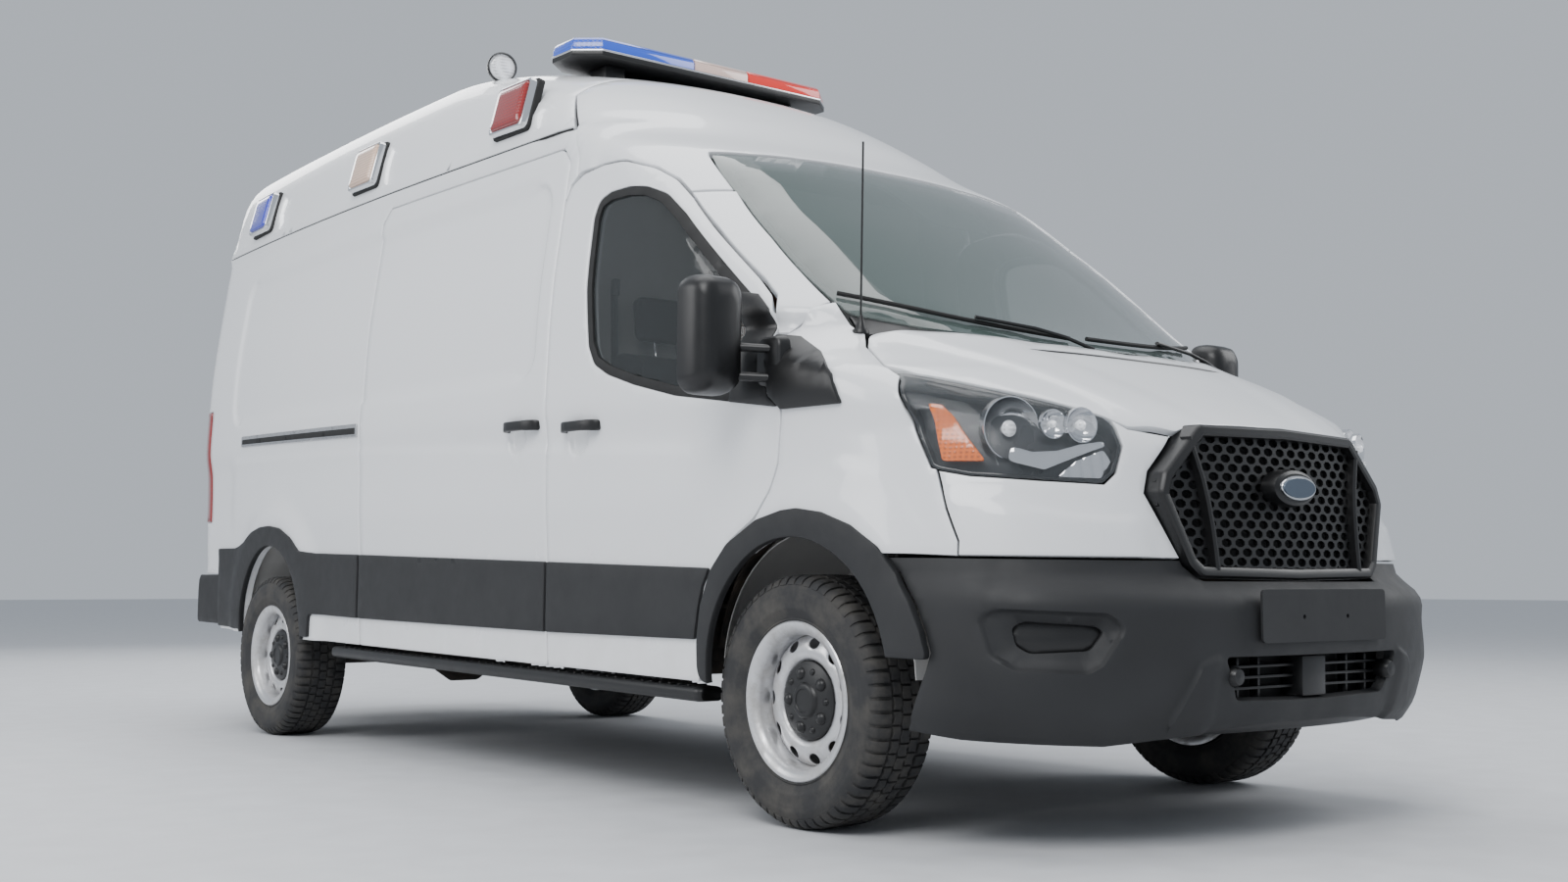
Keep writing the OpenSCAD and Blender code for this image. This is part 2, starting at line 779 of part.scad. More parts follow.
floor_pan();
side_panel(RIGHT);  // side_panel_right
side_panel(LEFT);  // side_panel_left
roof();
roof_cap();
cab_frame();
bulkhead();
front_wings();
nose_panel();
grille();
front_bumper();
rear_bumper();
sliding_door();
windshield();
headlights();
tail_lights();
light_bar();
warning_lights();
cladding();
side_steps();
cab_seats();
dashboard();
engine();
front_subframe();
rear_axle();
exhaust_and_tank();
cabinets();
steering_wheel();
hood();
front_door(RIGHT);  // front_door_right
front_door(LEFT);  // front_door_left
door_glass(RIGHT);  // door_glass_right
door_glass(LEFT);  // door_glass_left
wing_mirror(RIGHT);  // mirror_right
wing_mirror(LEFT);  // mirror_left
rear_door(RIGHT);  // rear_door_right
rear_door(LEFT);  // rear_door_left
rear_glass(RIGHT);  // rear_glass_right
rear_glass(LEFT);  // rear_glass_left
knuckle(RIGHT);  // knuckle_right
knuckle(LEFT);  // knuckle_left
rim(RIGHT, 0);  // front_rim_right
tyre(RIGHT, 0);  // front_tyre_right
rim(LEFT, 0);  // front_rim_left
tyre(LEFT, 0);  // front_tyre_left
rim(RIGHT, wheelbase);  // rear_rim_right
tyre(RIGHT, wheelbase);  // rear_tyre_right
rim(LEFT, wheelbase);  // rear_rim_left
tyre(LEFT, wheelbase);  // rear_tyre_left
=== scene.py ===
from math import acos, ceil, cos, pi, radians, sin, tan

import bmesh
import bpy
import numpy as np
from mathutils import Matrix, Vector
from mathutils.geometry import delaunay_2d_cdt
from numpy.linalg import norm


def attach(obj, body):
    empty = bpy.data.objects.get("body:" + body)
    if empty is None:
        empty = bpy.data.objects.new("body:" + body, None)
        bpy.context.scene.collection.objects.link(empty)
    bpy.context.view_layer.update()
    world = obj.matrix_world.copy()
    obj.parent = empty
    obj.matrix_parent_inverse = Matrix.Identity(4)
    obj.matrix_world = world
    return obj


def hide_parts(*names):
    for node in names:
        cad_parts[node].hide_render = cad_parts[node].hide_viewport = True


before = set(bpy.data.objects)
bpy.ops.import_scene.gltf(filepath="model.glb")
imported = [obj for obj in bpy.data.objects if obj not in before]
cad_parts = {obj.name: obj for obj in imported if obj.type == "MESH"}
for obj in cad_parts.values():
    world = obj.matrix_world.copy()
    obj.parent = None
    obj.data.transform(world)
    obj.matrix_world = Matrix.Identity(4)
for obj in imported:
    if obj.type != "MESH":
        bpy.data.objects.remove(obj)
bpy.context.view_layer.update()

# The body frame is in millimetres: the front axle is at y = 0, heights are above the ground there,
# and the unladen body leans nose-down. The row frame is in metres, on the ground.
LEAD = 1.964
RAKE = radians(0.95)
WHEELBASE = 3.75
WHEEL_Z = 0.354
WHEEL_X = 0.866
RIGHT, LEFT = -1, 1


def to_row(points):
    """Body-frame millimetres to row-frame metres."""
    p = np.asarray(points, float).reshape(-1, 3) / 1000
    c, s = cos(RAKE), sin(RAKE)
    return np.stack([p[:, 0], p[:, 1] * c - p[:, 2] * s - LEAD, p[:, 1] * s + p[:, 2] * c], 1)


# ---- Camera, floor and lights ----

def make_stage():
    scene = bpy.context.scene
    cam = bpy.data.cameras.new("camera")
    cam.lens, cam.sensor_width = 39.17, 36.0
    cam_obj = bpy.data.objects.new("camera", cam)
    scene.collection.objects.link(cam_obj)
    yaw, pitch, roll = radians(38.66), radians(4.71), radians(0.06)
    turn = (Matrix.Rotation(-yaw, 4, "Z") @ Matrix.Rotation(pi / 2 + pitch, 4, "X") @ Matrix.Rotation(roll,
        4, "Z"))
    cam_obj.matrix_world = Matrix.Translation((-3.994, -5.697, 0.687)) @ turn
    scene.camera = cam_obj

    r = 60.0
    new_object("floor", [(-r, -r, 0), (r, -r, 0), (r, r, 0), (-r, r, 0)], [(0, 1, 2, 3)],
        [plain("pale_floor", (0.62, 0.63, 0.65), 0.75)])

    world = bpy.data.worlds.new("studio")
    world.use_nodes = True
    scene.world = world
    world.node_tree.nodes["Background"].inputs["Color"].default_value = (0.72, 0.78, 0.86, 1)
    world.node_tree.nodes["Background"].inputs["Strength"].default_value = 0.72
    area("key_light", (-6.5, -5.5, 7.5), (0, 0.3, 0.9), 5.0, 620)
    area("side_light", (-9.0, 3.5, 5.0), (0, 0.5, 1.0), 5.0, 330)
    area("far_light", (8.0, -5.0, 6.0), (0, -0.5, 0.9), 5.0, 340)
    area("back_light", (2.0, 9.5, 6.5), (0, 1.0, 1.0), 5.0, 340)
    area("top_light", (0.0, 0.0, 9.0), (0, 0.2, 0.0), 7.0, 420)


def area(name, place, aim, size, power):
    light = bpy.data.lights.new(name, "AREA")
    light.shape, light.size, light.energy = "SQUARE", size, power
    obj = bpy.data.objects.new(name, light)
    bpy.context.scene.collection.objects.link(obj)
    obj.location = place
    obj.rotation_euler = (Vector(aim) - Vector(place)).to_track_quat("-Z", "Y").to_euler()


# ---- Finishes ----

class Wire:
    """The output of a node, with arithmetic that adds Math nodes."""

    def __init__(self, finish, socket):
        self.finish, self.socket = finish, socket

    def math(self, operation, a, b):
        node = self.finish.node("ShaderNodeMath", {"operation": operation}, {0: a, 1: b})
        return self.finish.wire(node, "Value")

    def __add__(self, other): return self.math("ADD", self, other)
    def __radd__(self, other): return self.math("ADD", other, self)
    def __sub__(self, other): return self.math("SUBTRACT", self, other)
    def __rsub__(self, other): return self.math("SUBTRACT", other, self)
    def __mul__(self, other): return self.math("MULTIPLY", self, other)
    def __rmul__(self, other): return self.math("MULTIPLY", other, self)
    def __truediv__(self, other): return self.math("DIVIDE", self, other)
    def __gt__(self, other): return self.math("GREATER_THAN", self, other)
    def __lt__(self, other): return self.math("LESS_THAN", self, other)
    def low(self, other): return self.math("MINIMUM", self, other)
    def high(self, other): return self.math("MAXIMUM", self, other)


class Finish:
    """A node material with a Principled shader."""

    def __init__(self, name, color, roughness, metallic=0.0, **constants):
        self.material = bpy.data.materials.new(name)
        self.material.use_nodes = True
        self.tree = self.material.node_tree
        self.shader = self.tree.nodes["Principled BSDF"]
        self.shader.inputs["Base Color"].default_value = (*color, 1)
        self.shader.inputs["Roughness"].default_value = roughness
        self.shader.inputs["Metallic"].default_value = metallic
        for key, value in constants.items():
            self.shader.inputs[key.replace("_", " ")].default_value = value
        self.place = None

    def node(self, kind, settings=None, sockets=None):
        node = self.tree.nodes.new(kind)
        for key, value in (settings or {}).items():
            if key == "stops":
                ramp = node.color_ramp
                while len(ramp.elements) < len(value):
                    ramp.elements.new(0.5)
                for element, (position, color) in zip(ramp.elements, value):
                    element.position, element.color = position, (*color, 1)
            else:
                setattr(node, key, value)
        for key, value in (sockets or {}).items():
            self.feed(node.inputs[key], value)
        return node

    def feed(self, socket, value):
        if isinstance(value, Wire):
            self.tree.links.new(value.socket, socket)
        else:
            socket.default_value = value

    def wire(self, node, output):
        return Wire(self, node.outputs[output])

    def coordinates(self):
        if self.place is None:
            self.place = self.wire(self.node("ShaderNodeTexCoord"), "Object")
        return self.place

    def stretched(self, scale):
        node = self.node("ShaderNodeMapping", None, {"Vector": self.coordinates(), "Scale": scale})
        return self.wire(node, "Vector")

    def noise(self, scale, detail=3.0, roughness=0.55, vector=None):
        node = self.node("ShaderNodeTexNoise", None, {"Vector": vector or self.coordinates(),
            "Scale": scale, "Detail": detail, "Roughness": roughness})
        return self.wire(node, "Fac")

    def cells(self, scale, vector=None):
        node = self.node("ShaderNodeTexVoronoi", None, {"Vector": vector or self.coordinates(),
            "Scale": scale})
        return self.wire(node, "Distance")

    def weave(self, scale, direction):
        node = self.node("ShaderNodeTexWave", {"bands_direction": direction}, {"Vector": self.coordinates(),
            "Scale": scale, "Distortion": 0.6})
        return self.wire(node, "Fac")

    def height(self):
        node = self.node("ShaderNodeSeparateXYZ", None, {0: self.coordinates()})
        return self.wire(node, "Z")

    def ramp(self, value, stops):
        node = self.node("ShaderNodeValToRGB", {"stops": stops}, {"Fac": value})
        return self.wire(node, "Color")

    def blend(self, share, a, b):
        node = self.node("ShaderNodeMix", {"data_type": "RGBA"}, {0: share, 6: a, 7: b})
        return Wire(self, node.outputs[2])

    def span(self, value, low, high, out_low, out_high):
        node = self.node("ShaderNodeMapRange", None, {"Value": value, "From Min": low, "From Max": high,
            "To Min": out_low, "To Max": out_high})
        return self.wire(node, "Result")

    def facing(self, blend):
        node = self.node("ShaderNodeLayerWeight", None, {"Blend": blend})
        return self.wire(node, "Facing")

    def set(self, **inputs):
        for key, value in inputs.items():
            self.feed(self.shader.inputs[key.replace("_", " ")], value)
        return self

    def bump(self, value, depth, strength=1.0):
        node = self.node("ShaderNodeBump", None, {"Height": value, "Distance": depth, "Strength": strength})
        self.feed(self.shader.inputs["Normal"], self.wire(node, "Normal"))
        return self


def plain(name, color, roughness, metallic=0.0, **constants):
    """A finish with a little wear: its colour and gloss vary slowly over the surface."""
    f = Finish(name, color, roughness, metallic, **constants)
    cloud = f.noise(6.0)
    dark = tuple(c * 0.86 for c in color)
    light = tuple(min(1.0, c * 1.08) for c in color)
    f.set(Base_Color=f.blend(cloud, (*dark, 1), (*light, 1)), Roughness=f.span(cloud, 0.3, 0.7,
        roughness * 0.9, min(1.0, roughness * 1.12)))
    return f.material


def make_paint():
    f = Finish("white_paint", (0.86, 0.87, 0.88), 0.26, Coat_Weight=0.6, Coat_Roughness=0.04)
    road_film = f.span(f.height(), 0.9, 0.38, 0.0, 1.0) * f.span(f.noise(9.0, 5.0), 0.35, 0.75, 0.2, 1.0)
    f.set(Base_Color=f.blend(road_film * 0.35, (0.86, 0.87, 0.885, 1), (0.62, 0.60, 0.56, 1)),
        Roughness=0.24 + road_film * 0.2)
    return f.bump(f.noise(420.0, 2.0), 0.00002, 0.25).material


def make_grained(name, color, roughness, depth=0.00025, dust=0.35):
    f = Finish(name, color, roughness)
    film = f.span(f.height(), 1.0, 0.25, 0.0, 1.0) * f.span(f.noise(7.0, 5.0), 0.35, 0.7, 0.0, 1.0)
    lighter = tuple(c * 1.5 + 0.02 for c in color)
    f.set(Base_Color=f.blend(film * dust, (*color, 1), (*lighter, 1)), Roughness=f.span(f.noise(14.0), 0.3,
        0.7, roughness * 0.92, min(1, roughness * 1.1)))
    return f.bump(f.cells(620.0), depth, 0.5).material


def make_tyre_rubber():
    f = Finish("tyre_rubber", (0.03, 0.03, 0.03), 0.82)
    dust = f.span(f.noise(11.0, 6.0, 0.65), 0.42, 0.72, 0.0, 1.0)
    f.set(Base_Color=f.blend(dust, (0.022, 0.022, 0.023, 1), (0.075, 0.07, 0.062, 1)),
        Roughness=f.span(dust, 0.0, 1.0, 0.72, 0.92))
    return f.bump(f.noise(160.0, 4.0), 0.0004, 0.6).material


def make_wheel_steel():
    f = Finish("wheel_steel", (0.6, 0.6, 0.61), 0.36, 0.75)
    grime = f.span(f.noise(16.0, 6.0, 0.65), 0.45, 0.75, 0.0, 1.0)
    f.set(Base_Color=f.blend(grime * 0.7, (0.66, 0.66, 0.67, 1), (0.28, 0.26, 0.23, 1)),
        Roughness=f.span(grime, 0.0, 1.0, 0.33, 0.62), Metallic=f.span(grime, 0.0, 1.0, 0.8, 0.35))
    return f.bump(f.noise(240.0), 0.0001, 0.4).material


def make_glass(name, color, alpha, edge=0.9):
    f = Finish(name, color, 0.03, IOR=1.5, Coat_Weight=1.0, Coat_Roughness=0.02)
    smear = f.span(f.noise(3.0, 4.0), 0.4, 0.7, 0.0, 1.0)
    f.set(Alpha=f.span(f.facing(0.35), 0.0, 1.0, alpha, edge), Roughness=f.span(smear, 0.0, 1.0, 0.02,
        0.06))
    return f.material


def make_lens(name, color, alpha=1.0, glow=0.0):
    f = Finish(name, color, 0.08, IOR=1.5, Coat_Weight=1.0, Coat_Roughness=0.02)
    ribs = f.weave(26.0, "Z") * f.weave(26.0, "Y")
    deep = tuple(c * 0.45 for c in color)
    f.set(Base_Color=f.blend(ribs, (*color, 1), (*deep, 1)))
    f.shader.inputs["Alpha"].default_value = alpha
    if glow:
        f.shader.inputs["Emission Color"].default_value = (*color, 1)
        f.shader.inputs["Emission Strength"].default_value = glow
    return f.bump(ribs, 0.0008, 0.6).material


def make_fabric(name, color):
    f = Finish(name, color, 0.9)
    weave = f.weave(240.0, "X") * f.weave(240.0, "Z")
    worn = tuple(c * 1.8 + 0.01 for c in color)
    f.set(Base_Color=f.blend(weave * 0.6 + f.noise(8.0) * 0.3, (*color, 1), (*worn, 1)))
    return f.bump(weave, 0.0005, 0.7).material


def make_laminate(name, color, deep):
    f = Finish(name, color, 0.4)
    grain = f.noise(5.0, 6.0, 0.6, f.stretched((9.0, 9.0, 0.7)))
    f.set(Base_Color=f.blend(grain, (*color, 1), (*deep, 1)), Roughness=f.span(grain, 0.3, 0.7, 0.34, 0.5))
    return f.material


def make_brushed(name, color, roughness):
    f = Finish(name, color, roughness, 1.0)
    streak = f.noise(30.0, 3.0, 0.5, f.stretched((20.0, 0.6, 20.0)))
    f.set(Roughness=f.span(streak, 0.3, 0.7, roughness * 0.7, roughness * 1.4))
    return f.bump(streak, 0.00005, 0.5).material


def make_chassis():
    f = Finish("chassis_steel", (0.035, 0.034, 0.033), 0.6, 0.2)
    mud = f.span(f.noise(5.0, 7.0, 0.65), 0.4, 0.7, 0.0, 1.0)
    f.set(Base_Color=f.blend(mud, (0.03, 0.03, 0.03, 1), (0.13, 0.10, 0.075, 1)), Roughness=f.span(mud, 0.0,
        1.0, 0.45, 0.9))
    return f.bump(f.noise(90.0, 4.0), 0.0008, 0.5).material


PAINT = make_paint()
TRIM = make_grained("grained_black_trim", (0.012, 0.0124, 0.0135), 0.60)
SMOOTH_BLACK = make_grained("moulded_black", (0.006, 0.006, 0.0064), 0.38, 0.00008, 0.08)
GLOSS_BLACK = plain("gloss_black", (0.012, 0.012, 0.013), 0.12)
LINER = plain("grey_wheel_liner", (0.52, 0.51, 0.49), 0.85)
RUBBER = make_tyre_rubber()
SEAL = make_grained("rubber_seal", (0.008, 0.008, 0.008), 0.7, 0.0001, 0.1)
WHEEL_STEEL = make_wheel_steel()
WINDSHIELD = make_glass("windshield_glass", (0.085, 0.12, 0.11), 0.36)
SIDE_GLASS = make_glass("side_glass", (0.03, 0.035, 0.035), 0.10, 0.75)
REAR_GLASS = make_glass("rear_glass", (0.02, 0.025, 0.025), 0.65)
LAMP_GLASS = make_glass("lamp_cover", (0.30, 0.33, 0.35), 0.05, 0.3)
FRIT = plain("enamel_band", (0.12, 0.135, 0.13), 0.2)
CHROME = plain("chrome", (0.82, 0.83, 0.85), 0.09, 1.0)
ALUMINIUM = make_brushed("brushed_aluminium", (0.62, 0.62, 0.63), 0.3)
LAMP_GREY = plain("lamp_housing", (0.05, 0.052, 0.056), 0.3, 0.3)
AMBER = make_lens("amber_reflector", (0.85, 0.18, 0.02), 1.0, 0.15)
RED_LENS = make_lens("red_lens", (0.30, 0.012, 0.01))
BAR_RED = make_lens("bar_red", (0.75, 0.03, 0.02), 1.0, 0.12)
BAR_BLUE = make_lens("bar_blue", (0.02, 0.09, 0.62), 1.0, 0.12)
BAR_CLEAR = make_lens("bar_clear", (0.75, 0.55, 0.48))
BLUE_LENS = make_lens("blue_lens", (0.015, 0.03, 0.55), 1.0, 0.1)
PEACH_LENS = make_lens("peach_lens", (0.82, 0.58, 0.44))
WHITE_LENS = make_lens("white_lens", (0.85, 0.87, 0.9), 1.0, 0.35)
CAB_DARK = make_grained("cab_plastic", (0.045, 0.045, 0.047), 0.55, 0.0002, 0.0)
CAB_LIGHT = make_grained("light_cab_trim", (0.42, 0.42, 0.41), 0.6, 0.0002, 0.0)
SEAT = make_fabric("seat_fabric", (0.022, 0.022, 0.024))
LAMINATE = make_laminate("orange_laminate", (0.50, 0.17, 0.07), (0.36, 0.10, 0.04))
PALE_LAMINATE = make_laminate("pale_laminate", (0.74, 0.73, 0.70), (0.66, 0.65, 0.62))
CHASSIS = make_chassis()
BADGE = plain("plain_badge", (0.10, 0.13, 0.17), 0.2, 0.4)


# ---- The body's outer surface ----

FRONT_LINE = [(265, -930), (300, -985), (400, -1022), (500, -1042), (640, -1038), (690, -1005), (720, -958),
    (900, -935), (1040, -915), (1100, -880), (1150, -810), (1200, -720), (1260, -600), (1320, -480), (1370,
    -370), (1410, -280), (1475, -165), (1875, 375), (2090, 667), (2210, 885), (2330, 1070), (2437, 1255),
    (2530, 1450), (2600, 1680), (2650, 1880), (2690, 2120), (2715, 2360), (2735, 2700), (2750, 3200)]
NOSE_DEPTH = [(265, 600), (640, 620), (900, 670), (1100, 720), (1150, 600), (1200, 520), (1260, 500), (1300,
    600), (1370, 720), (1410, 720), (1475, 520), (1875, 380), (2090, 380), (2210, 480), (2437, 600), (2690,
    650), (2750, 400)]
NOSE_POWER = [(265, 2.4), (700, 2.4), (1000, 2.15), (1200, 2.3), (2750, 2.3)]
LEAN = [(265, 60), (330, 40), (400, 28), (560, 22), (700, 22), (800, 18), (1000, 17), (1120, 14), (1250, 0),
    (1400, 5), (1550, 12), (1700, 25), (1850, 45), (2000, 66), (2150, 87), (2300, 112), (2440, 142), (2520,
    170), (2600, 215), (2650, 270), (2690, 350), (2715, 420), (2735, 520), (2750, 700)]
HALF_WIDTH, TAPER_START, TAPER, REAR, CORNER, ROOF_TOP = 1022, 2200, 117, 4850, 60, 2750


def smooth_curve(table):
    """A curve with no overshoot through a list of places and values."""
    x = np.array([t[0] for t in table], float)
    y = np.array([t[1] for t in table], float)
    h = np.diff(x)
    d = np.diff(y) / h
    m = np.zeros(len(x))
    m[0], m[-1] = d[0], d[-1]
    for i in range(1, len(x) - 1):
        if d[i - 1] * d[i] > 0:
            w1, w2 = 2 * h[i] + h[i - 1], h[i] + 2 * h[i - 1]
            m[i] = (w1 + w2) / (w1 / d[i - 1] + w2 / d[i])

    def value(q):
        q = np.clip(np.asarray(q, float), x[0], x[-1])
        i = np.clip(np.searchsorted(x, q) - 1, 0, len(x) - 2)
        t = (q - x[i]) / h[i]
        return (y[i] * (1 + 2 * t) * (1 - t) ** 2 + m[i] * h[i] * t * (1 - t) ** 2
                + y[i + 1] * t * t * (3 - 2 * t) + m[i + 1] * h[i] * t * t * (t - 1))
    return value


front_line, nose_depth = smooth_curve(FRONT_LINE), smooth_curve(NOSE_DEPTH)
nose_power, lean = smooth_curve(NOSE_POWER), smooth_curve(LEAN)


def half_width(y, z):
    return HALF_WIDTH - TAPER * np.maximum(0, (y - TAPER_START) / (REAR - TAPER_START)) ** 2 - lean(z)


def outside(p):
    """About how far a point is outside the body, in millimetres."""
    x, y, z = np.abs(p[:, 0]), p[:, 1], p[:, 2]
    depth, power = nose_depth(z), nose_power(z)
    middle = front_line(z) + depth
    w = np.maximum(half_width(y, z), 1)
    a = np.maximum(0, (middle - y) / depth)
    side = w * (((x / w) ** power + a ** power) ** (1 / power) - 1)
    side = np.maximum(side, z - ROOF_TOP)
    u, v = side + CORNER, y - REAR + CORNER
    rounded = np.hypot(np.maximum(u, 0), np.maximum(v, 0)) - CORNER
    return np.where((u > 0) & (v > 0), rounded, np.maximum(side, y - REAR))


def to_surface(start, direction, reach):
    """Where rays from inside the body reach its surface."""
    low = np.zeros(len(start))
    high = np.full(len(start), float(reach))
    for _ in range(24):
        mid = (low + high) / 2
        out = outside(start + direction * mid[:, None]) > 0
        high = np.where(out, mid, high)
        low = np.where(out, low, mid)
    return start + direction * low[:, None]


def normals(p):
    e = 3.0
    g = np.stack([outside(p + np.eye(3)[i] * e) - outside(p - np.eye(3)[i] * e) for i in range(3)], 1)
    return g / np.maximum(norm(g, axis=1), 1e-9)[:, None]


class SideView:
    """Lengthways place and height, seen from one side; past its bend it goes round the rear corner."""
    BEND, REACH = 4300, 900

    def __init__(self, side):
        self.side = side

    def place(self, uv):
        turn = np.maximum(0, uv[:, 0] - self.BEND) / self.REACH
        start = np.stack([0 * turn, np.minimum(uv[:, 0], self.BEND), uv[:, 1]], 1)
        ray = np.stack([self.side * np.cos(turn), np.sin(turn), 0 * turn], 1)
        return to_surface(start, ray, 1500)

    def flat(self, p):
        p = np.asarray(p, float).reshape(-1, 3)
        turn = np.arctan2(np.maximum(0, p[:, 1] - self.BEND), np.abs(p[:, 0]))
        return np.stack([np.minimum(p[:, 1], self.BEND) + turn * self.REACH, p[:, 2]], 1)


class TubeView:
    """Distance round the body from its top middle line, and lengthways place."""

    def __init__(self, middle_z, reach=800, bend=4300):
        self.z, self.reach, self.bend = middle_z, reach, bend

    def place(self, uv):
        a = uv[:, 0] / self.reach
        turn = np.maximum(0, uv[:, 1] - self.bend) / self.reach
        start = np.stack([0 * a, np.minimum(uv[:, 1], self.bend), 0 * a + self.z], 1)
        ray = np.stack([np.sin(a) * np.cos(turn), np.sin(turn), np.cos(a) * np.cos(turn)], 1)
        return to_surface(start, ray, 1500)

    def flat(self, p):
        p = np.asarray(p, float).reshape(-1, 3)
        up = p[:, 2] - self.z
        a = np.arctan2(p[:, 0], up)
        turn = np.arctan2(np.maximum(0, p[:, 1] - self.bend), np.hypot(p[:, 0], up))
        return np.stack([a * self.reach, np.minimum(p[:, 1], self.bend) + turn * self.reach], 1)


class NoseView:
    """Distance round the nose from its middle, and height."""

    def __init__(self, middle_y=-200, reach=1000):
        self.y, self.reach = middle_y, reach

    def place(self, uv):
        a = uv[:, 0] / self.reach
        start = np.stack([0 * a, 0 * a + self.y, uv[:, 1]], 1)
        return to_surface(start, np.stack([np.sin(a), -np.cos(a), 0 * a], 1), 1800)

    def flat(self, p):
        p = np.asarray(p, float).reshape(-1, 3)
        return np.stack([np.arctan2(p[:, 0], self.y - p[:, 1]) * self.reach, p[:, 2]], 1)


class RearView:
    """Width and height, seen from behind."""

    def place(self, uv):
        start = np.stack([uv[:, 0], 0 * uv[:, 0] + 3000, uv[:, 1]], 1)
        return to_surface(start, np.tile([0.0, 1, 0], (len(uv), 1)), 2200)

    def flat(self, p):
        return np.asarray(p, float).reshape(-1, 3)[:, [0, 2]]


SIDES = {RIGHT: SideView(RIGHT), LEFT: SideView(LEFT)}
NOSE, ROOF, DECK, BACK = NoseView(), TubeView(1850), TubeView(700), RearView()


def seen_front(points):
    """Points of width and height on the surface, seen from the front."""
    q = np.asarray(points, float)
    start = np.stack([q[:, 0], 0 * q[:, 0] + 1500, q[:, 1]], 1)
    return to_surface(start, np.tile([0.0, -1, 0], (len(q), 1)), 3000)


def seen_side(points, side):
    return SIDES[side].place(np.asarray(points, float))


def seen_top(points):
    """Points of width and lengthways place on the hood."""
    q = np.asarray(points, float)
    start = np.stack([q[:, 0], q[:, 1], 0 * q[:, 0] + 1000], 1)
    return to_surface(start, np.tile([0.0, 0, 1], (len(q), 1)), 600)


# ---- Outlines ----

def resample(loop, step, closed=True):
    q = np.asarray(loop, float)
    if closed:
        q = np.vstack([q, q[:1]])
    out = []
    for a, b in zip(q[:-1], q[1:]):
        n = max(1, int(ceil(norm(b - a) / step)))
        out.extend(a + (b - a) * (k / n) for k in range(n))
    if not closed:
        out.append(q[-1])
    return np.array(out)


def rounded(loop, radius=30, step=8):
    """Rounds a closed outline's corners; a third number in a point is its own radius."""
    n = len(loop)
    pts = [np.array(p[:2], float) for p in loop]
    out = []
    for i in range(n):
        p, a, b = pts[i], pts[i - 1], pts[(i + 1) % n]
        r = loop[i][2] if len(loop[i]) > 2 else radius
        u, v = a - p, b - p
        lu, lv = norm(u), norm(v)
        u, v = u / lu, v / lv
        angle = acos(max(-1.0, min(1.0, float(u @ v))))
        if r <= 0 or angle > pi - 0.01:
            out.append(p)
            continue
        cut = min(r / tan(angle / 2), 0.48 * lu, 0.48 * lv)
        k = max(2, int(cut * 2 / step))
        for j in range(k + 1):
            t = j / k
            out.append((1 - t) ** 2 * (p + u * cut) + 2 * t * (1 - t) * p + t * t * (p + v * cut))
    return np.array(out)


def turned(loop):
    """Twice the signed area of a loop."""
    x, y = loop[:, 0], loop[:, 1]
    return float(np.sum(x * np.roll(y, -1) - np.roll(x, -1) * y))


def grown(loop, by):
    """A loop moved outwards by a distance."""
    d = np.roll(loop, -1, 0) - np.roll(loop, 1, 0)
    d /= np.maximum(norm(d, axis=1), 1e-9)[:, None]
    out = np.stack([d[:, 1], -d[:, 0]], 1) * (1 if turned(loop) > 0 else -1)
    return loop + out * by


def inside(loop, pts):
    x, y = pts[:, 0], pts[:, 1]
    hit = np.zeros(len(pts), bool)
    for (ax, ay), (bx, by) in zip(loop, np.roll(loop, -1, 0)):
        if ay != by:
            hit ^= ((ay > y) != (by > y)) & (x < (bx - ax) * (y - ay) / (by - ay) + ax)
    return hit


def near(line, pts):
    """Distance of points from a polyline."""
    best = np.full(len(pts), 1e9)
    for a, b in zip(line[:-1], line[1:]):
        ab = b - a
        t = np.clip(((pts - a) @ ab) / max(float(ab @ ab), 1e-9), 0, 1)
        best = np.minimum(best, norm(pts - a - t[:, None] * ab, axis=1))
    return best


def triangles(points, loops):
    """A flat net of triangles on given points, with the loops as its edges."""
    verts, edges = [Vector(p) for p in points], []
    for loop in loops:
        base = len(verts)
        verts.extend(Vector(p) for p in loop)
        edges.extend((base + i, base + (i + 1) % len(loop)) for i in range(len(loop)))
    out = delaunay_2d_cdt(verts, edges, [], 0, 0.01)
    return np.array([tuple(v) for v in out[0]], float), np.array(out[2], int).reshape(-1, 3)


def carve(keep, *cuts):
    """The outlines left of a region once others are cut away."""
    loops = [resample(keep, 12)] + [resample(c, 12) for c in cuts]
    pts, tris = triangles(np.zeros((0, 2)), loops)
    mid = pts[tris].mean(1)
    ok = inside(loops[0], mid)
    for c in loops[1:]:
        ok &= ~inside(c, mid)
    return borders(pts, tris[ok])


def borders(pts, tris):
    count = {}
    for t in tris:
        a, b, c = pts[t]
        if (b[0] - a[0]) * (c[1] - a[1]) - (b[1] - a[1]) * (c[0] - a[0]) < 0:
            t = t[::-1]
        for i in range(3):
            count[(t[i], t[(i + 1) % 3])] = 1
    follow = {a: b for a, b in count if (b, a) not in count}
    loops = []
    while follow:
        first = next(iter(follow))
        ring, at = [], first
        while at in follow:
            ring.append(at)
            at = follow.pop(at)
        if len(ring) > 8:
            loops.append(pts[ring])
    return sorted(loops, key=lambda q: -abs(turned(q)))


def circle(cy, cz, r, n=72):
    a = np.linspace(0, 2 * pi, n, endpoint=False)
    return np.stack([cy + r * np.cos(a), cz + r * np.sin(a)], 1)


# ---- Pieces ----

def new_object(name, points, faces=(), mats=()):
    mesh = bpy.data.meshes.new(name)
    mesh.from_pydata([tuple(p) for p in points], [], [tuple(int(i) for i in f) for f in faces])
    for mat in mats:
        mesh.materials.append(mat)
    obj = bpy.data.objects.new(name, mesh)
    bpy.context.scene.collection.objects.link(obj)
    return obj


def mesh_points(mesh):
    out = np.zeros(len(mesh.vertices) * 3)
    mesh.vertices.foreach_get("co", out)
    return out.reshape(-1, 3)


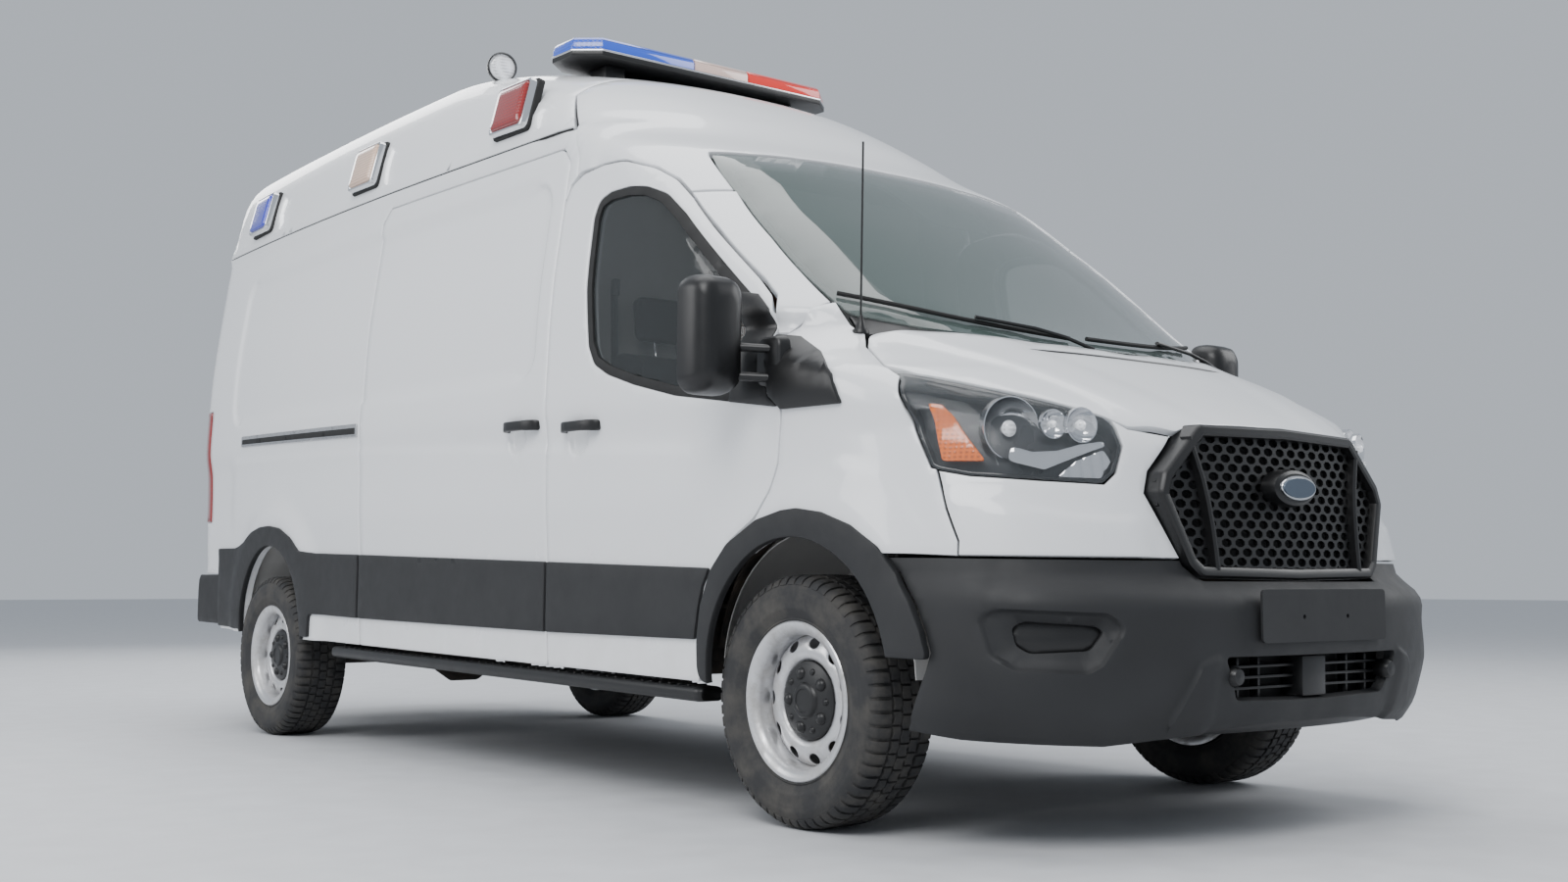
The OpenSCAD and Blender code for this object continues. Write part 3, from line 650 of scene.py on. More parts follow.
def dress(obj, body, smooth=35.0, node=None):
    mesh = obj.data
    mesh.validate()
    if smooth:
        mesh.shade_smooth()
        mesh.set_sharp_from_angle(angle=radians(smooth))
    mesh.update()
    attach(obj, body)
    if node:
        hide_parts(node)
    return obj


def panel(name, view, loops, mats, body="van_body", node=None, step=26, wall=20,
          relief=None, features=(), edge=2.5, proud=0.0, inner_step=80, back_mat=0, fine=9.0):
    """A pressed panel: its skin lies on the body's surface, with rounded edges and a back.

    loops are flat outlines in the view: the outside first, then the holes. relief gives how far
    the skin stands out at flat places. features are lines that get rows of points beside them.
    """
    loops = [resample(q, fine) for q in loops]
    loops = [q if (turned(q) > 0) == (i == 0) else q[::-1] for i, q in enumerate(loops)]
    signs = [1] + [-1] * (len(loops) - 1)
    skin_loops = [grown(q, -s * edge) for q, s in zip(loops, signs)]
    low, high = loops[0].min(0), loops[0].max(0)

    def net(edge_loops, gap, lines):
        xs, ys = np.arange(low[0] + gap / 2, high[0], gap), np.arange(low[1] + gap / 2, high[1], gap)
        grid = np.stack(np.meshgrid(xs, ys), -1).reshape(-1, 2)
        grid[(np.round((grid[:, 1] - low[1]) / gap).astype(int) % 2) == 0, 0] += gap / 2
        rows = []
        for line, offsets in lines:
            q = resample(line, 12, closed=False)
            d = np.gradient(q, axis=0)
            d /= np.maximum(norm(d, axis=1), 1e-9)[:, None]
            side = np.stack([-d[:, 1], d[:, 0]], 1)
            rows.extend(q + side * o for o in offsets)
            reach = max(abs(o) for o in offsets) + gap * 0.4
            grid = grid[near(q, grid) > reach]
        pts = np.vstack([grid] + rows) if rows else grid
        ok = inside(edge_loops[0], pts)
        for q in edge_loops[1:]:
            ok &= ~inside(q, pts)
        pts = pts[ok]
        for q in edge_loops:
            pts = pts[near(np.vstack([q, q[:1]]), pts) > gap * 0.35]
        flat, tris = triangles(pts, edge_loops)
        mid = flat[tris].mean(1)
        ok = inside(edge_loops[0], mid)
        for q in edge_loops[1:]:
            ok &= ~inside(q, mid)
        tris = tris[ok]
        a, b, c = flat[tris[:, 0]], flat[tris[:, 1]], flat[tris[:, 2]]
        area_sign = (b[:, 0] - a[:, 0]) * (c[:, 1] - a[:, 1]) - (b[:, 1] - a[:, 1]) * (c[:, 0] - a[:, 0])
        tris[area_sign < 0] = tris[area_sign < 0][:, ::-1]
        return flat, tris

    def lift(flat, drop, use_relief=True):
        p = view.place(flat)
        n = normals(p)
        h = proud - drop + (relief(flat, p) if relief and use_relief else 0)
        return p + n * np.asarray(h).reshape(-1, 1) if np.ndim(h) else p + n * h

    verts, faces, mat_ids = [], [], []

    def add(points, tris, mat):
        base = sum(len(v) for v in verts)
        verts.append(points)
        faces.extend((np.asarray(tris) + base).tolist())
        mat_ids.extend([mat] * len(tris))
        return base

    flat, tris = net(skin_loops, step, features)
    add(lift(flat, 0), tris, 0)
    for q, skin, s in zip(loops, skin_loops, signs):
        rings = [(skin, 0.0), (grown(q, -s * edge * 0.3), edge * 0.3), (q, edge), (q, max(wall * 0.5,
            edge * 1.5)), (q, wall)]
        n = len(q)
        strip = np.vstack([lift(r, d) for r, d in rings])
        quads = []
        for k in range(len(rings) - 1):
            for i in range(n):
                j = (i + 1) % n
                quads.append((k * n + i, (k + 1) * n + i, (k + 1) * n + j, k * n + j))
        add(strip, quads, 0)
    back_flat, back_tris = net(loops, inner_step, ())
    add(lift(back_flat, wall, False) if relief is None else lift(back_flat, wall), back_tris[:, ::-1],
        back_mat)
    points = np.vstack(verts)
    inward = outward_sign(tris, lift(flat, 0)) < 0
    if inward:
        faces = [f[::-1] for f in faces]
    obj = new_object(name, to_row(points), faces, mats if isinstance(mats, list) else [mats])
    obj.data.polygons.foreach_set("material_index", np.asarray(mat_ids, np.int32))
    return weld(dress(obj, body, 38.0, node))


def outward_sign(tris, p):
    t = p[tris[len(tris) // 2]]
    n = np.cross(t[1] - t[0], t[2] - t[0])
    return float(n @ normals(t.mean(0)[None])[0])


def weld(obj, gap=0.00025):
    bm = bmesh.new()
    bm.from_mesh(obj.data)
    bmesh.ops.remove_doubles(bm, verts=bm.verts, dist=gap)
    bmesh.ops.dissolve_degenerate(bm, edges=bm.edges, dist=gap * 0.5)
    bm.to_mesh(obj.data)
    bm.free()
    obj.data.shade_smooth()
    obj.data.set_sharp_from_angle(angle=radians(38))
    return obj


def solid(name, shape, mat, body="van_body", node=None, slot=None, bevel=0.0, smooth=35.0,
          segments=3, local=False):
    """A closed piece from body-frame points and faces, with its edges rounded."""
    points, faces = shape
    obj = new_object(name, np.asarray(points, float) / 1000 if local else to_row(points), faces, [mat])
    mesh = obj.data
    bm = bmesh.new()
    bm.from_mesh(mesh)
    bmesh.ops.remove_doubles(bm, verts=bm.verts, dist=1e-6)
    bmesh.ops.recalc_face_normals(bm, faces=bm.faces)
    if bevel:
        sharp = [e for e in bm.edges if len(e.link_faces) == 2 and e.calc_face_angle(0) > 0.5]
        bmesh.ops.bevel(bm, geom=sharp, offset=bevel / 1000, segments=segments, profile=0.5, affect="EDGES",
            clamp_overlap=True)
    bm.to_mesh(mesh)
    bm.free()
    return dress(obj, body, smooth, node)


def prism(loop, low, high, axis):
    """A flat outline drawn out along an axis: 0 for width, 1 for length, 2 for height."""
    n = len(loop)
    pts = []
    for t in (low, high):
        for u, v in np.asarray(loop, float)[:, :2]:
            p = [u, v]
            p.insert(axis, t)
            pts.append(p)
    faces = [tuple(range(n)), tuple(range(2 * n - 1, n - 1, -1))]
    faces += [(i, n + i, n + (i + 1) % n, (i + 1) % n) for i in range(n)]
    return pts, faces


def cuboid(low, high):
    (x0, y0, z0), (x1, y1, z1) = low, high
    return prism([(x0, y0), (x1, y0), (x1, y1), (x0, y1)], z0, z1, 2)


def block(name, low, high, mat, bevel=4.0, **more):
    return solid(name, cuboid(low, high), mat, bevel=bevel, **more)


def spun(profile, n=64):
    """Rings of (radius, place) points round an axis along +Z, as points and faces."""
    pts, faces = [], []
    m = len(profile)
    for i in range(n):
        a = 2 * pi * i / n
        pts.extend((r * cos(a), r * sin(a), h) for r, h in profile)
    for i in range(n):
        for k in range(m - 1):
            a, b = i * m + k, ((i + 1) % n) * m + k
            faces.append((a, b, b + 1, a + 1))
    return np.array(pts), faces


def moved(shape, x_axis, z_axis, origin):
    """A shape turned to new axes at a new origin."""
    z = np.array(z_axis, float)
    z /= norm(z)
    x = np.array(x_axis, float)
    x -= z * (x @ z)
    x /= norm(x)
    turn = np.stack([x, np.cross(z, x), z])
    return np.asarray(shape[0], float) @ turn + np.array(origin, float), shape[1]


def tube(name, path, radius, mat, n=10, flat=1.0, **more):
    """A round rod along points; flat squeezes it."""
    q = np.asarray(path, float)
    d = np.gradient(q, axis=0)
    d /= norm(d, axis=1)[:, None]
    ref = np.array([0.0, 0, 1]) if abs(d[0][2]) < 0.9 else np.array([1.0, 0, 0])
    pts, faces = [], []
    for p, t in zip(q, d):
        u = np.cross(t, ref)
        u /= norm(u)
        v = np.cross(u, t)
        pts.extend(p + u * radius * cos(a) + v * radius * flat * sin(a) for a in np.linspace(0, 2 * pi, n,
            endpoint=False))
    for i in range(len(q) - 1):
        for k in range(n):
            j = (k + 1) % n
            faces.append((i * n + k, i * n + j, (i + 1) * n + j, (i + 1) * n + k))
    faces.append(tuple(range(n - 1, -1, -1)))
    faces.append(tuple((len(q) - 1) * n + k for k in range(n)))
    return solid(name, (pts, faces), mat, **more)


def sided(points, side):
    """Points of the left side, or their mirror for the right one."""
    return [(side * p[0], *p[1:]) for p in points]


def side_name(side):
    return "right" if side == RIGHT else "left"


SIDE_NAMES = ((RIGHT, "right"), (LEFT, "left"))


make_stage()

# ---- Body panels ----

FRONT_ARCH, REAR_ARCH = (-35, 410), (3755, 385)
DOOR = [(30, 1170), (40, 1110), (52, 1020, 80), (85, 945, 80), (145, 868, 90), (265, 800, 90), (350, 722,
    90), (405, 610, 90), (424, 500, 90), (424, 383, 10), (1297, 383, 10), (1297, 1960, 60), (1270, 2020,
    60), (1200, 2052, 60), (1080, 2062, 200), (953, 2055, 300), (803, 2008, 300), (708, 1958, 300), (604,
    1880, 300), (466, 1766, 400), (231, 1575, 300), (169, 1519, 60), (140, 1470, 60), (125, 1400, 60), (80,
    1215, 60)]
WINDOW = [(250, 1205, 25), (540, 1243, 200), (770, 1294, 200), (925, 1338, 200), (1010, 1378, 60), (1050,
    1440, 60), (1088, 1640, 200), (1098, 1880, 80), (1078, 1940, 60), (1010, 1960, 60), (900, 1960, 200),
    (797, 1944, 200), (699, 1908, 200), (585, 1826, 300), (438, 1704, 300), (251, 1548, 200), (165, 1476,
    40), (150, 1400, 40), (130, 1240, 40)]
SLIDER = [(1304, 383, 10), (2782, 383, 10), (2782, 2110, 50), (2722, 2168, 50), (1364, 2168, 50), (1304,
    2110, 50)]
CAP_SEAM = [(1235, 2052), (1241, 2122), (1324, 2252), (1508, 2417), (1700, 2600)]
GLASS_HALF = [(818, 1600), (813, 1725), (790, 1871), (741, 2066), (725, 2082), (581, 2092), (380, 2103)]
GLASS_FOOT = [(400, 1402), (620, 1425), (800, 1458)]
HOOD_SIDE = [(382, -848), (509, -799), (553, -757), (644, -682), (775, -559), (895, -404), (922, -311),
    (850, -157), (795, -98)]
HOOD_BACK = [(642, -194), (491, -264), (330, -321)]
RECESS = (1400, 4385, 1364, 2060, 95)


def ease(x, start, end):
    """0 at start, 1 at end, with a soft beginning and finish."""
    t = np.clip((np.asarray(x, float) - start) / (end - start), 0, 1)
    return t * t * (3 - 2 * t)


def belt(y):
    return np.interp(y, [480, 1050, 1850, 2800, 4330], [1079, 1103, 1138, 1172, 1192])


def recess_distance(y, z):
    y0, y1, z0, z1, r = RECESS
    dy = np.abs(y - (y0 + y1) / 2) - (y1 - y0) / 2 + r
    dz = np.abs(z - (z0 + z1) / 2) - (z1 - z0) / 2 + r
    return np.hypot(np.maximum(dy, 0), np.maximum(dz, 0)) + np.minimum(np.maximum(dy, dz), 0) - r


def side_shape(q, p):
    """How far the side's pressings stand out: window blank, belt, handle dishes and arch flares."""
    y, z = q[:, 0], q[:, 1]
    h = -11 * ease(recess_distance(y, z), 15, -15)
    fade = ease(y, 300, 520) * ease(y, 4420, 4300)
    h += 8 * ease(z, belt(y) + 26, belt(y) - 22) * ease(z, 770, 960) * fade
    h -= 13 * ease(np.hypot(y - 1106, z - 1140), 62, 44)
    h -= 13 * ease(np.hypot(y - 1509, z - 1160), 62, 44) * (p[:, 0] < 0)
    rear = np.hypot(y - 3755, z - 385)
    h += 20 * ease(rear, 640, 500)
    front = np.hypot(y + 60, z - 405)
    h += 10 * ease(front, 600, 495) * ease(y, 500, 300)
    h += 7 * ease(z, 2210, 2228) * ease(y, 1500, 1600)
    return h


def side_lines(y0, y1):
    """The pressings' edges between two places along the side."""
    a, b, c, d, r = RECESS
    pts = rounded([(a, c), (b, c), (b, d), (a, d)], r, 14)
    keep = np.array([p for p in np.vstack([pts, pts[:1]]) if y0 - 30 < p[0] < y1 + 30]).reshape(-1, 2)
    lines = []
    for line in np.split(keep, np.where(norm(np.diff(keep, axis=0), axis=1) > 1800)[0] + 1):
        if len(line) > 3:
            lines.append((resample(line, 40, False), (-17, -9, 0, 9, 17)))
    ys = np.arange(max(y0, 480), min(y1, 4330), 60.0)
    lines.append((np.stack([ys, belt(ys)], 1), (-24, -12, 0, 12, 24)))
    for hy, hz in ((1106, 1140), (1509, 1160)):
        if y0 < hy < y1:
            ring = circle(hy, hz, 53, 28)
            lines.append((np.vstack([ring, ring[:1]]), (-10, -3, 4, 11)))
    return lines


def from_side(points, view, side):
    return view.flat(seen_side([p[:2] for p in points], side))


def make_side_walls():
    back_edge = [(4914, 2237), (4880, 2180), (4847, 1550), (4847, 648)]
    for side, s in SIDE_NAMES:
        top = [(1304, 1962), (1279, 2026), (1243, 2054), (1246, 2122), (1314, 2237, 5)]
        low = [(4552, 648), (4552, 383)]
        if side == RIGHT:
            rest = [(2789, 383), (2789, 2113), (2725, 2175), (1361, 2175), (1304, 2118)]
        else:
            rest = [(1304, 383)]
        keep = rounded([(*p[:2], p[2] if len(p) > 2 else 8) for p in top + back_edge + low + rest])
        lamp = [(4700, 896), (4870, 896), (4870, 1454), (4700, 1454)]
        loops = carve(keep, circle(*REAR_ARCH, 404), lamp)
        panel("side_wall_" + s, SIDES[side], loops[:1], [PAINT, PALE_LAMINATE], node="side_panel_" + s,
            relief=side_shape, step=30, features=side_lines(2789 if side == RIGHT else 1304, 4600), wall=40,
            back_mat=1)
    panel("sliding_door_skin", SIDES[RIGHT], [rounded(SLIDER)], [PAINT, PALE_LAMINATE], node="sliding_door",
        relief=side_shape, step=30, features=side_lines(1304, 2782), wall=45, back_mat=1)


def make_front_doors():
    for side, s in SIDE_NAMES:
        body = "front_door_" + s
        panel("door_skin_" + s, SIDES[side], [rounded(DOOR, 25), rounded(WINDOW)], [PAINT, CAB_DARK],
            body=body, node=body, relief=side_shape, features=side_lines(60, 1290), wall=48, back_mat=1,
            step=26)
        glass = grown(rounded(WINDOW), -14)
        panel("door_window_" + s, SIDES[side], [glass], SIDE_GLASS, body=body, node="door_glass_" + s,
            wall=4, proud=-9, edge=1, fine=16)
        panel("window_seal_" + s, SIDES[side], [grown(rounded(WINDOW), -1.0), grown(rounded(WINDOW), -30)],
            SEAL, body=body, wall=16, proud=-3, step=40, edge=2)


def make_roof():
    def gutter(side, gap):
        us = np.concatenate([np.arange(1330, 4300, 60.0), np.linspace(4300, 4914, 26)])
        return SIDES[side].place(np.stack([us, 0 * us + 2243 + gap], 1))

    def seam(shift):
        """The joint between the cap and the roof, from the right gutter over to the left one."""
        line = [(y + shift, z) for y, z in CAP_SEAM]
        right, left = from_side(line, ROOF, RIGHT), from_side(line, ROOF, LEFT)
        us = np.linspace(right[-1, 0], left[-1, 0], 24)[1:-1]
        share = (us - us.mean()) / abs(right[-1, 0])
        arc = np.stack([us, 1700 + shift + 150 * (1 - np.abs(share) ** 2.2)], 1)
        return right, arc, left

    back = BACK.place(np.stack([np.linspace(-660, 660, 45), np.full(45, 2243.0)], 1))
    right, arc, left = seam(2)
    front = np.vstack([right[3:], arc, left[::-1][:-3]])
    loop = np.vstack([ROOF.flat(gutter(RIGHT, 0)), ROOF.flat(back), ROOF.flat(gutter(LEFT, 0))[::-1],
        front[::-1]])

    def roof_shape(q, p):
        return 9 * ease(p[:, 2], 2300, 2274) + 3 * ease(p[:, 2], 2700, 2712) * ribs(p)

    def ribs(p):
        x = np.abs(p[:, 0])
        return ease(np.abs(x - 210), 55, 35) * ease(p[:, 1], 2500, 2600)

    panel("roof_skin", ROOF, [loop], [PAINT, PALE_LAMINATE], node="roof", relief=roof_shape, step=42,
        wall=26, back_mat=1, inner_step=110)

    right, arc, left = seam(-2)
    half = []
    for side, rear in ((RIGHT, right), (LEFT, left)):
        door_top = [(1208, 2061), (1080, 2070), (953, 2063), (803, 2016), (706, 1965), (634, 1911)]
        glass_top = sided([(788, 1919), (748, 2068), (731, 2089), (583, 2099), (381, 2110)], side)
        half.append(np.vstack([rear[::-1], from_side(door_top, ROOF, side),
            ROOF.flat(seen_front(glass_top))]))
    middle = ROOF.flat(seen_front([(0, 2116)]))
    loop = np.vstack([arc[::-1], half[0], middle, half[1][::-1]])

    def cap_shape(q, p):
        return 7 * ease(p[:, 2], 2262, 2238) * ease(p[:, 1], 1100, 1180)

    panel("roof_cap_skin", ROOF, [loop], [PAINT, CAB_LIGHT], node="roof_cap", relief=cap_shape, step=32,
        wall=24, back_mat=1)


PILLAR = NoseView(1100, 900)


def make_cab_frame():
    for side, s in SIDE_NAMES:
        seam = [(625, 1903), (598, 1882), (460, 1772), (225, 1582), (160, 1524), (133, 1471), (118, 1402),
            (88, 1402)]
        outer = from_side(seam, PILLAR, side)
        foot = from_side([(72, 1430), (52, 1476)], PILLAR, side)
        glass = sided([(822, 1498), (825, 1600), (820, 1725), (797, 1871), (784, 1912)], side)
        loop = np.vstack([outer, foot, PILLAR.flat(seen_front(glass))])
        panel("windshield_pillar_" + s, PILLAR, [loop], [PAINT, CAB_LIGHT],
            node="cab_frame" if side == RIGHT else None, step=24, wall=30, back_mat=1)
    hood_gap = [(x * 1.006, y + 14) for x, y in HOOD_SIDE[-1:] + HOOD_BACK]
    line = [(-x, y) for x, y in hood_gap] + [(0, -365)] + hood_gap[::-1]
    front = DECK.flat(seen_top(line))
    feet = [(-x, z - 5) for x, z in GLASS_FOOT[::-1]] + [(0, 1388)] + [(x, z - 5) for x, z in GLASS_FOOT]
    rear = DECK.flat(seen_front(feet))
    corner = DECK.flat(seen_top([(800, -60), (-800, -60)]))
    loop = np.vstack([front, corner[:1], rear[::-1], corner[1:]])
    panel("cowl", DECK, [loop], SMOOTH_BLACK, proud=-6, wall=12, step=34)


def make_windshield():
    ring = ([(x, z) for x, z in GLASS_FOOT] + GLASS_HALF + [(0, 2110)] + [(-x, z) for x,
        z in GLASS_HALF[::-1]] + [(-x, z) for x, z in GLASS_FOOT[::-1]] + [(0, 1392)])
    loop = rounded([(*p, 0 if p[0] == 0 else 40) for p in ring])
    flat = PILLAR.flat(seen_front(loop))
    panel("windshield_pane", PILLAR, [flat], WINDSHIELD, node="windshield", proud=-3, wall=5, step=60,
        edge=1, fine=16)
    inner = rounded([(-765, 1488, 50), (0, 1446, 0), (765, 1488, 50), (782, 1600, 0), (777, 1725, 0), (754,
        1871, 0), (716, 2024, 50), (560, 2040, 0), (300, 2048, 40), (215, 1890, 40), (-60, 1890, 40), (-120,
        2048, 40), (-560, 2040, 0), (-716, 2024, 50), (-754, 1871, 0), (-777, 1725, 0), (-782, 1600, 0)])
    hole = PILLAR.flat(seen_front(inner))
    panel("windshield_band", PILLAR, [grown(flat, -3), hole], FRIT, proud=-15, wall=2, step=60, edge=0.5,
        fine=16)


def make_wings():
    for side, s in SIDE_NAMES:
        seam = [(-600, 764), (-596, 800), (-557, 881), (-518, 987), (-475, 990)]
        hood_edge = sided([(929, -311), (857, -155), (803, -90), (806, -30)], side)
        pillar_foot = [(33, 1497), (48, 1486), (69, 1437), (86, 1396), (112, 1396)]
        door_edge = [(73, 1216), (24, 1171), (34, 1109), (46, 1018), (79, 941), (141, 863), (261, 794),
            (344, 718), (398, 608), (417, 500), (417, 383), (300, 383), (300, 764)]
        lower = from_side(seam, DECK, side)
        lamp = DECK.flat(seen_front([(side * 938, 990), (side * 934, 1240), (side * 933, 1262)]))
        loop = np.vstack([lower[:-1], lamp, DECK.flat(seen_top(hood_edge)), from_side(pillar_foot, DECK,
            side), from_side(door_edge, DECK, side)])
        arch = from_side(circle(*FRONT_ARCH, 404), DECK, side)
        loops = carve(loop, arch)

        def shape(q, p, side=side):
            y, z = p[:, 1], p[:, 2]
            h = 9 * ease(np.hypot(y + 60, z - 405), 610, 490)
            crease = np.interp(y, [-519, -375, -194, 17], [818, 986, 1018, 916])
            return h + 6 * ease(z, crease + 22, crease - 22) * ease(y, -560, -480) * ease(y, 60, -40)

        line = from_side([(-500, 840), (-440, 930), (-375, 986), (-290, 1012), (-194, 1018), (-90, 980),
            (17, 916)], DECK, side)
        panel("front_wing_" + s, DECK, loops[:1], [PAINT, LINER],
            node="front_wings" if side == RIGHT else None, relief=shape, step=24, wall=18, back_mat=1,
            features=[(line, (-22, -11, 0, 11, 22))])


def make_hood():
    ring = ([(0, -850)] + HOOD_SIDE + HOOD_BACK + [(0, -372)] + [(-x, y) for x,
        y in HOOD_BACK[::-1]] + [(-x, y) for x, y in HOOD_SIDE[::-1]])
    flat = DECK.flat(seen_top(rounded([(*p, 0 if p[0] == 0 else 45) for p in ring])))

    def shape(q, p):
        x, y = np.abs(p[:, 0]), p[:, 1]
        edge = np.interp(y, [-860, -600, -350, -100], [455, 560, 680, 760])
        lip = np.interp(y, [-860, -380], [250, 420])
        return 11 * ease(x, edge + 34, edge - 34) - 5 * ease(x, lip + 70, lip - 70)

    lines = []
    for s in (-1, 1):
        pts = seen_top([(s * 458, -815), (s * 560, -600), (s * 660, -385), (s * 690, -300), (s * 722,
            -210)])
        lines.append((DECK.flat(pts), (-32, -20, -8, 8, 20, 32)))
    panel("hood_skin", DECK, [flat], [PAINT, SMOOTH_BLACK], body="hood", node="hood", relief=shape, step=26,
        wall=22, back_mat=1, features=lines)
    slit = [(x, -427 + 0.00026 * x * x) for x in np.linspace(-440, 440, 30)]
    pts = np.array([seen_top([p])[0] for p in slit])
    pts += normals(pts) * 4.5
    tube("hood_vent", pts, 7, SMOOTH_BLACK, body="hood", n=8, flat=0.7)


def make_nose_panel():
    for side, s in SIDE_NAMES:
        top = seen_top(sided([(400, -849), (513, -804)], side))
        edges = [(541, 1122), (541, 1105), (545, 1052), (574, 982), (611, 950), (758, 957), (884, 968)]
        lamp = seen_front(sided(edges, side))
        seam = seen_side([(-526, 982), (-564, 881), (-602, 800), (-606, 764)], side)
        low = seen_front([(side * 437, 764)])
        mesh_edge = seen_front(sided([(512, 930), (492, 988), (398, 1085)], side))
        flat = NOSE.flat(np.vstack([top, lamp, seam, low, mesh_edge]))
        crease = seen_front(sided([(562, 866), (647, 860), (720, 872), (793, 887)], side))

        def shape(q, p):
            x, z = np.abs(p[:, 0]), p[:, 2]
            line = np.interp(x, [520, 600, 700, 800, 920], [868, 862, 868, 888, 930])
            return 9 * ease(z, line + 16, line - 16) * ease(x, 490, 560)

        panel("nose_skin_" + s, NOSE, [flat], [PAINT, SMOOTH_BLACK],
            node="nose_panel" if side == RIGHT else None, relief=shape, step=22, wall=18, back_mat=1,
            features=[(NOSE.flat(crease), (-16, -8, 0, 8, 16))])


GRILLE = [(0, 706), (385, 712), (425, 745), (505, 930), (485, 985), (345, 1117), (0, 1124)]


def mirrored(half):
    return list(half) + [(-p[0], *p[1:]) for p in half[::-1] if p[0] != 0]


FOG_OUTER = [(944, 605), (928, 630), (712, 622), (667, 591), (726, 494), (757, 475), (894, 482), (930, 514)]
FOG_INNER = [(901, 588), (877, 602), (735, 592), (712, 580), (746, 530), (871, 521), (894, 540)]


def make_front_bumper():
    half = []
    for side, s in SIDE_NAMES:
        edge = seen_side([(-390, 757), (-452, 717), (-512, 642), (-546, 572), (-562, 516), (-545, 470),
            (-500, 380), (-463, 312)], side)
        foot = seen_front(sided([(930, 296), (660, 283), (542, 300), (157, 330)], side))
        crown = seen_front(sided([(390, 706), (431, 743), (437, 757)], side))
        half.append(np.vstack([crown, edge, foot]))
    loop = NOSE.flat(np.vstack([half[0], half[1][::-1]]))
    opening = NOSE.flat(seen_front(rounded(mirrored([(0, 513, 0), (387, 513, 14), (327, 399, 20), (0, 392,
        0)]), 0)))
    holes = [opening]
    for side, s in SIDE_NAMES:
        holes.append(NOSE.flat(seen_front(rounded(sided(FOG_INNER, side), 22))))

    def shape(q, p):
        x, z = np.abs(p[:, 0]), p[:, 2]
        outer = rounded([(a, b) for a, b in FOG_OUTER], 26)
        d = near(np.vstack([outer, outer[:1]]), np.stack([x, z], 1))
        d = np.where(inside(outer, np.stack([x, z], 1)), -d, d)
        h = -16 * ease(d, 5, -9) - 14 * ease(d, -16, -34)
        low = np.interp(x, [330, 372, 467, 533, 964], [532, 532, 499, 344, 330])
        h += 10 * ease(z, low + 8, low - 14) * ease(x, 385, 420)
        h -= 14 * ease(z, 350, 318)
        plate = ease(x, 296, 284) * ease(z, 518, 526) * ease(z, 678, 668)
        return h + 5 * plate

    creases = []
    for side, s in SIDE_NAMES:
        outer = seen_front(rounded(sided(FOG_OUTER, side), 26, 14))
        ring = NOSE.flat(outer)
        creases.append((np.vstack([ring, ring[:1]]), (-8, -3, 3, 8)))
        low = seen_front(sided([(372, 532), (467, 499), (500, 420), (533, 344)], side))
        creases.append((NOSE.flat(low), (-14, -7, 0, 7, 14)))
    panel("bumper_skin", NOSE, [loop] + holes, TRIM, node="front_bumper", relief=shape, step=24, wall=30,
        features=creases, fine=10)
    for side, s in SIDE_NAMES:
        ring = NOSE.flat(seen_front(rounded(sided(FOG_INNER, side), 22)))

        def blank(q, p):
            return 4 * ease(np.abs(p[:, 2] - 558), 26, 8)

        panel("fog_blank_" + s, NOSE, [grown(ring, 4)], SMOOTH_BLACK, proud=-44, wall=6, step=20,
            relief=blank)
    ring = rounded([(-280, 530), (280, 530), (280, 668), (-280, 668)], 14)
    holes = [circle(s * 99, 596, 6.0, 20) for s in (-1, 1)]
    flat_plate("plate_holder", ring, holes, -1062, -1055, "van_body", TRIM)


def flat_plate(name, ring, holes, y0, y1, body, mat, slot="black_plastic", chassis=True):
    """A plate across the vehicle with holes through it."""
    flat, tris = triangles(np.zeros((0, 2)), [ring] + holes)
    mid = flat[tris].mean(1)
    ok = inside(ring, mid)
    for h in holes:
        ok &= ~inside(h, mid)
    tris = tris[ok]
    verts, faces = [], []
    for y in (y0, y1):
        base = len(verts)
        verts.extend((u, y, v) for u, v in flat)
        faces.extend(tuple(t + base) for t in tris)
    n = len(flat)
    for loop in [ring] + holes:
        ids = [int(np.argmin(norm(flat - p, axis=1))) for p in loop]
        faces.extend((a, b, b + n, a + n) for a, b in zip(ids, ids[1:] + ids[:1]))
    pts = np.array(verts) / 1000 - np.array([0, LEAD, 0]) if chassis else to_row(verts)
    return solid(name, (pts * 1000, faces), mat, body=body, slot=slot, local=True, smooth=5)


def band(name, loop, side, body, view=None, proud=12, node=None, step=40, cuts=()):
    view = view or SIDES[side]
    loops = carve(loop, *cuts) if len(cuts) else [loop]
    return panel(name + "_" + side_name(side), view, loops[:1], TRIM, body=body, node=node, step=step,
        wall=proud + 10, proud=proud, edge=5, relief=side_shape)


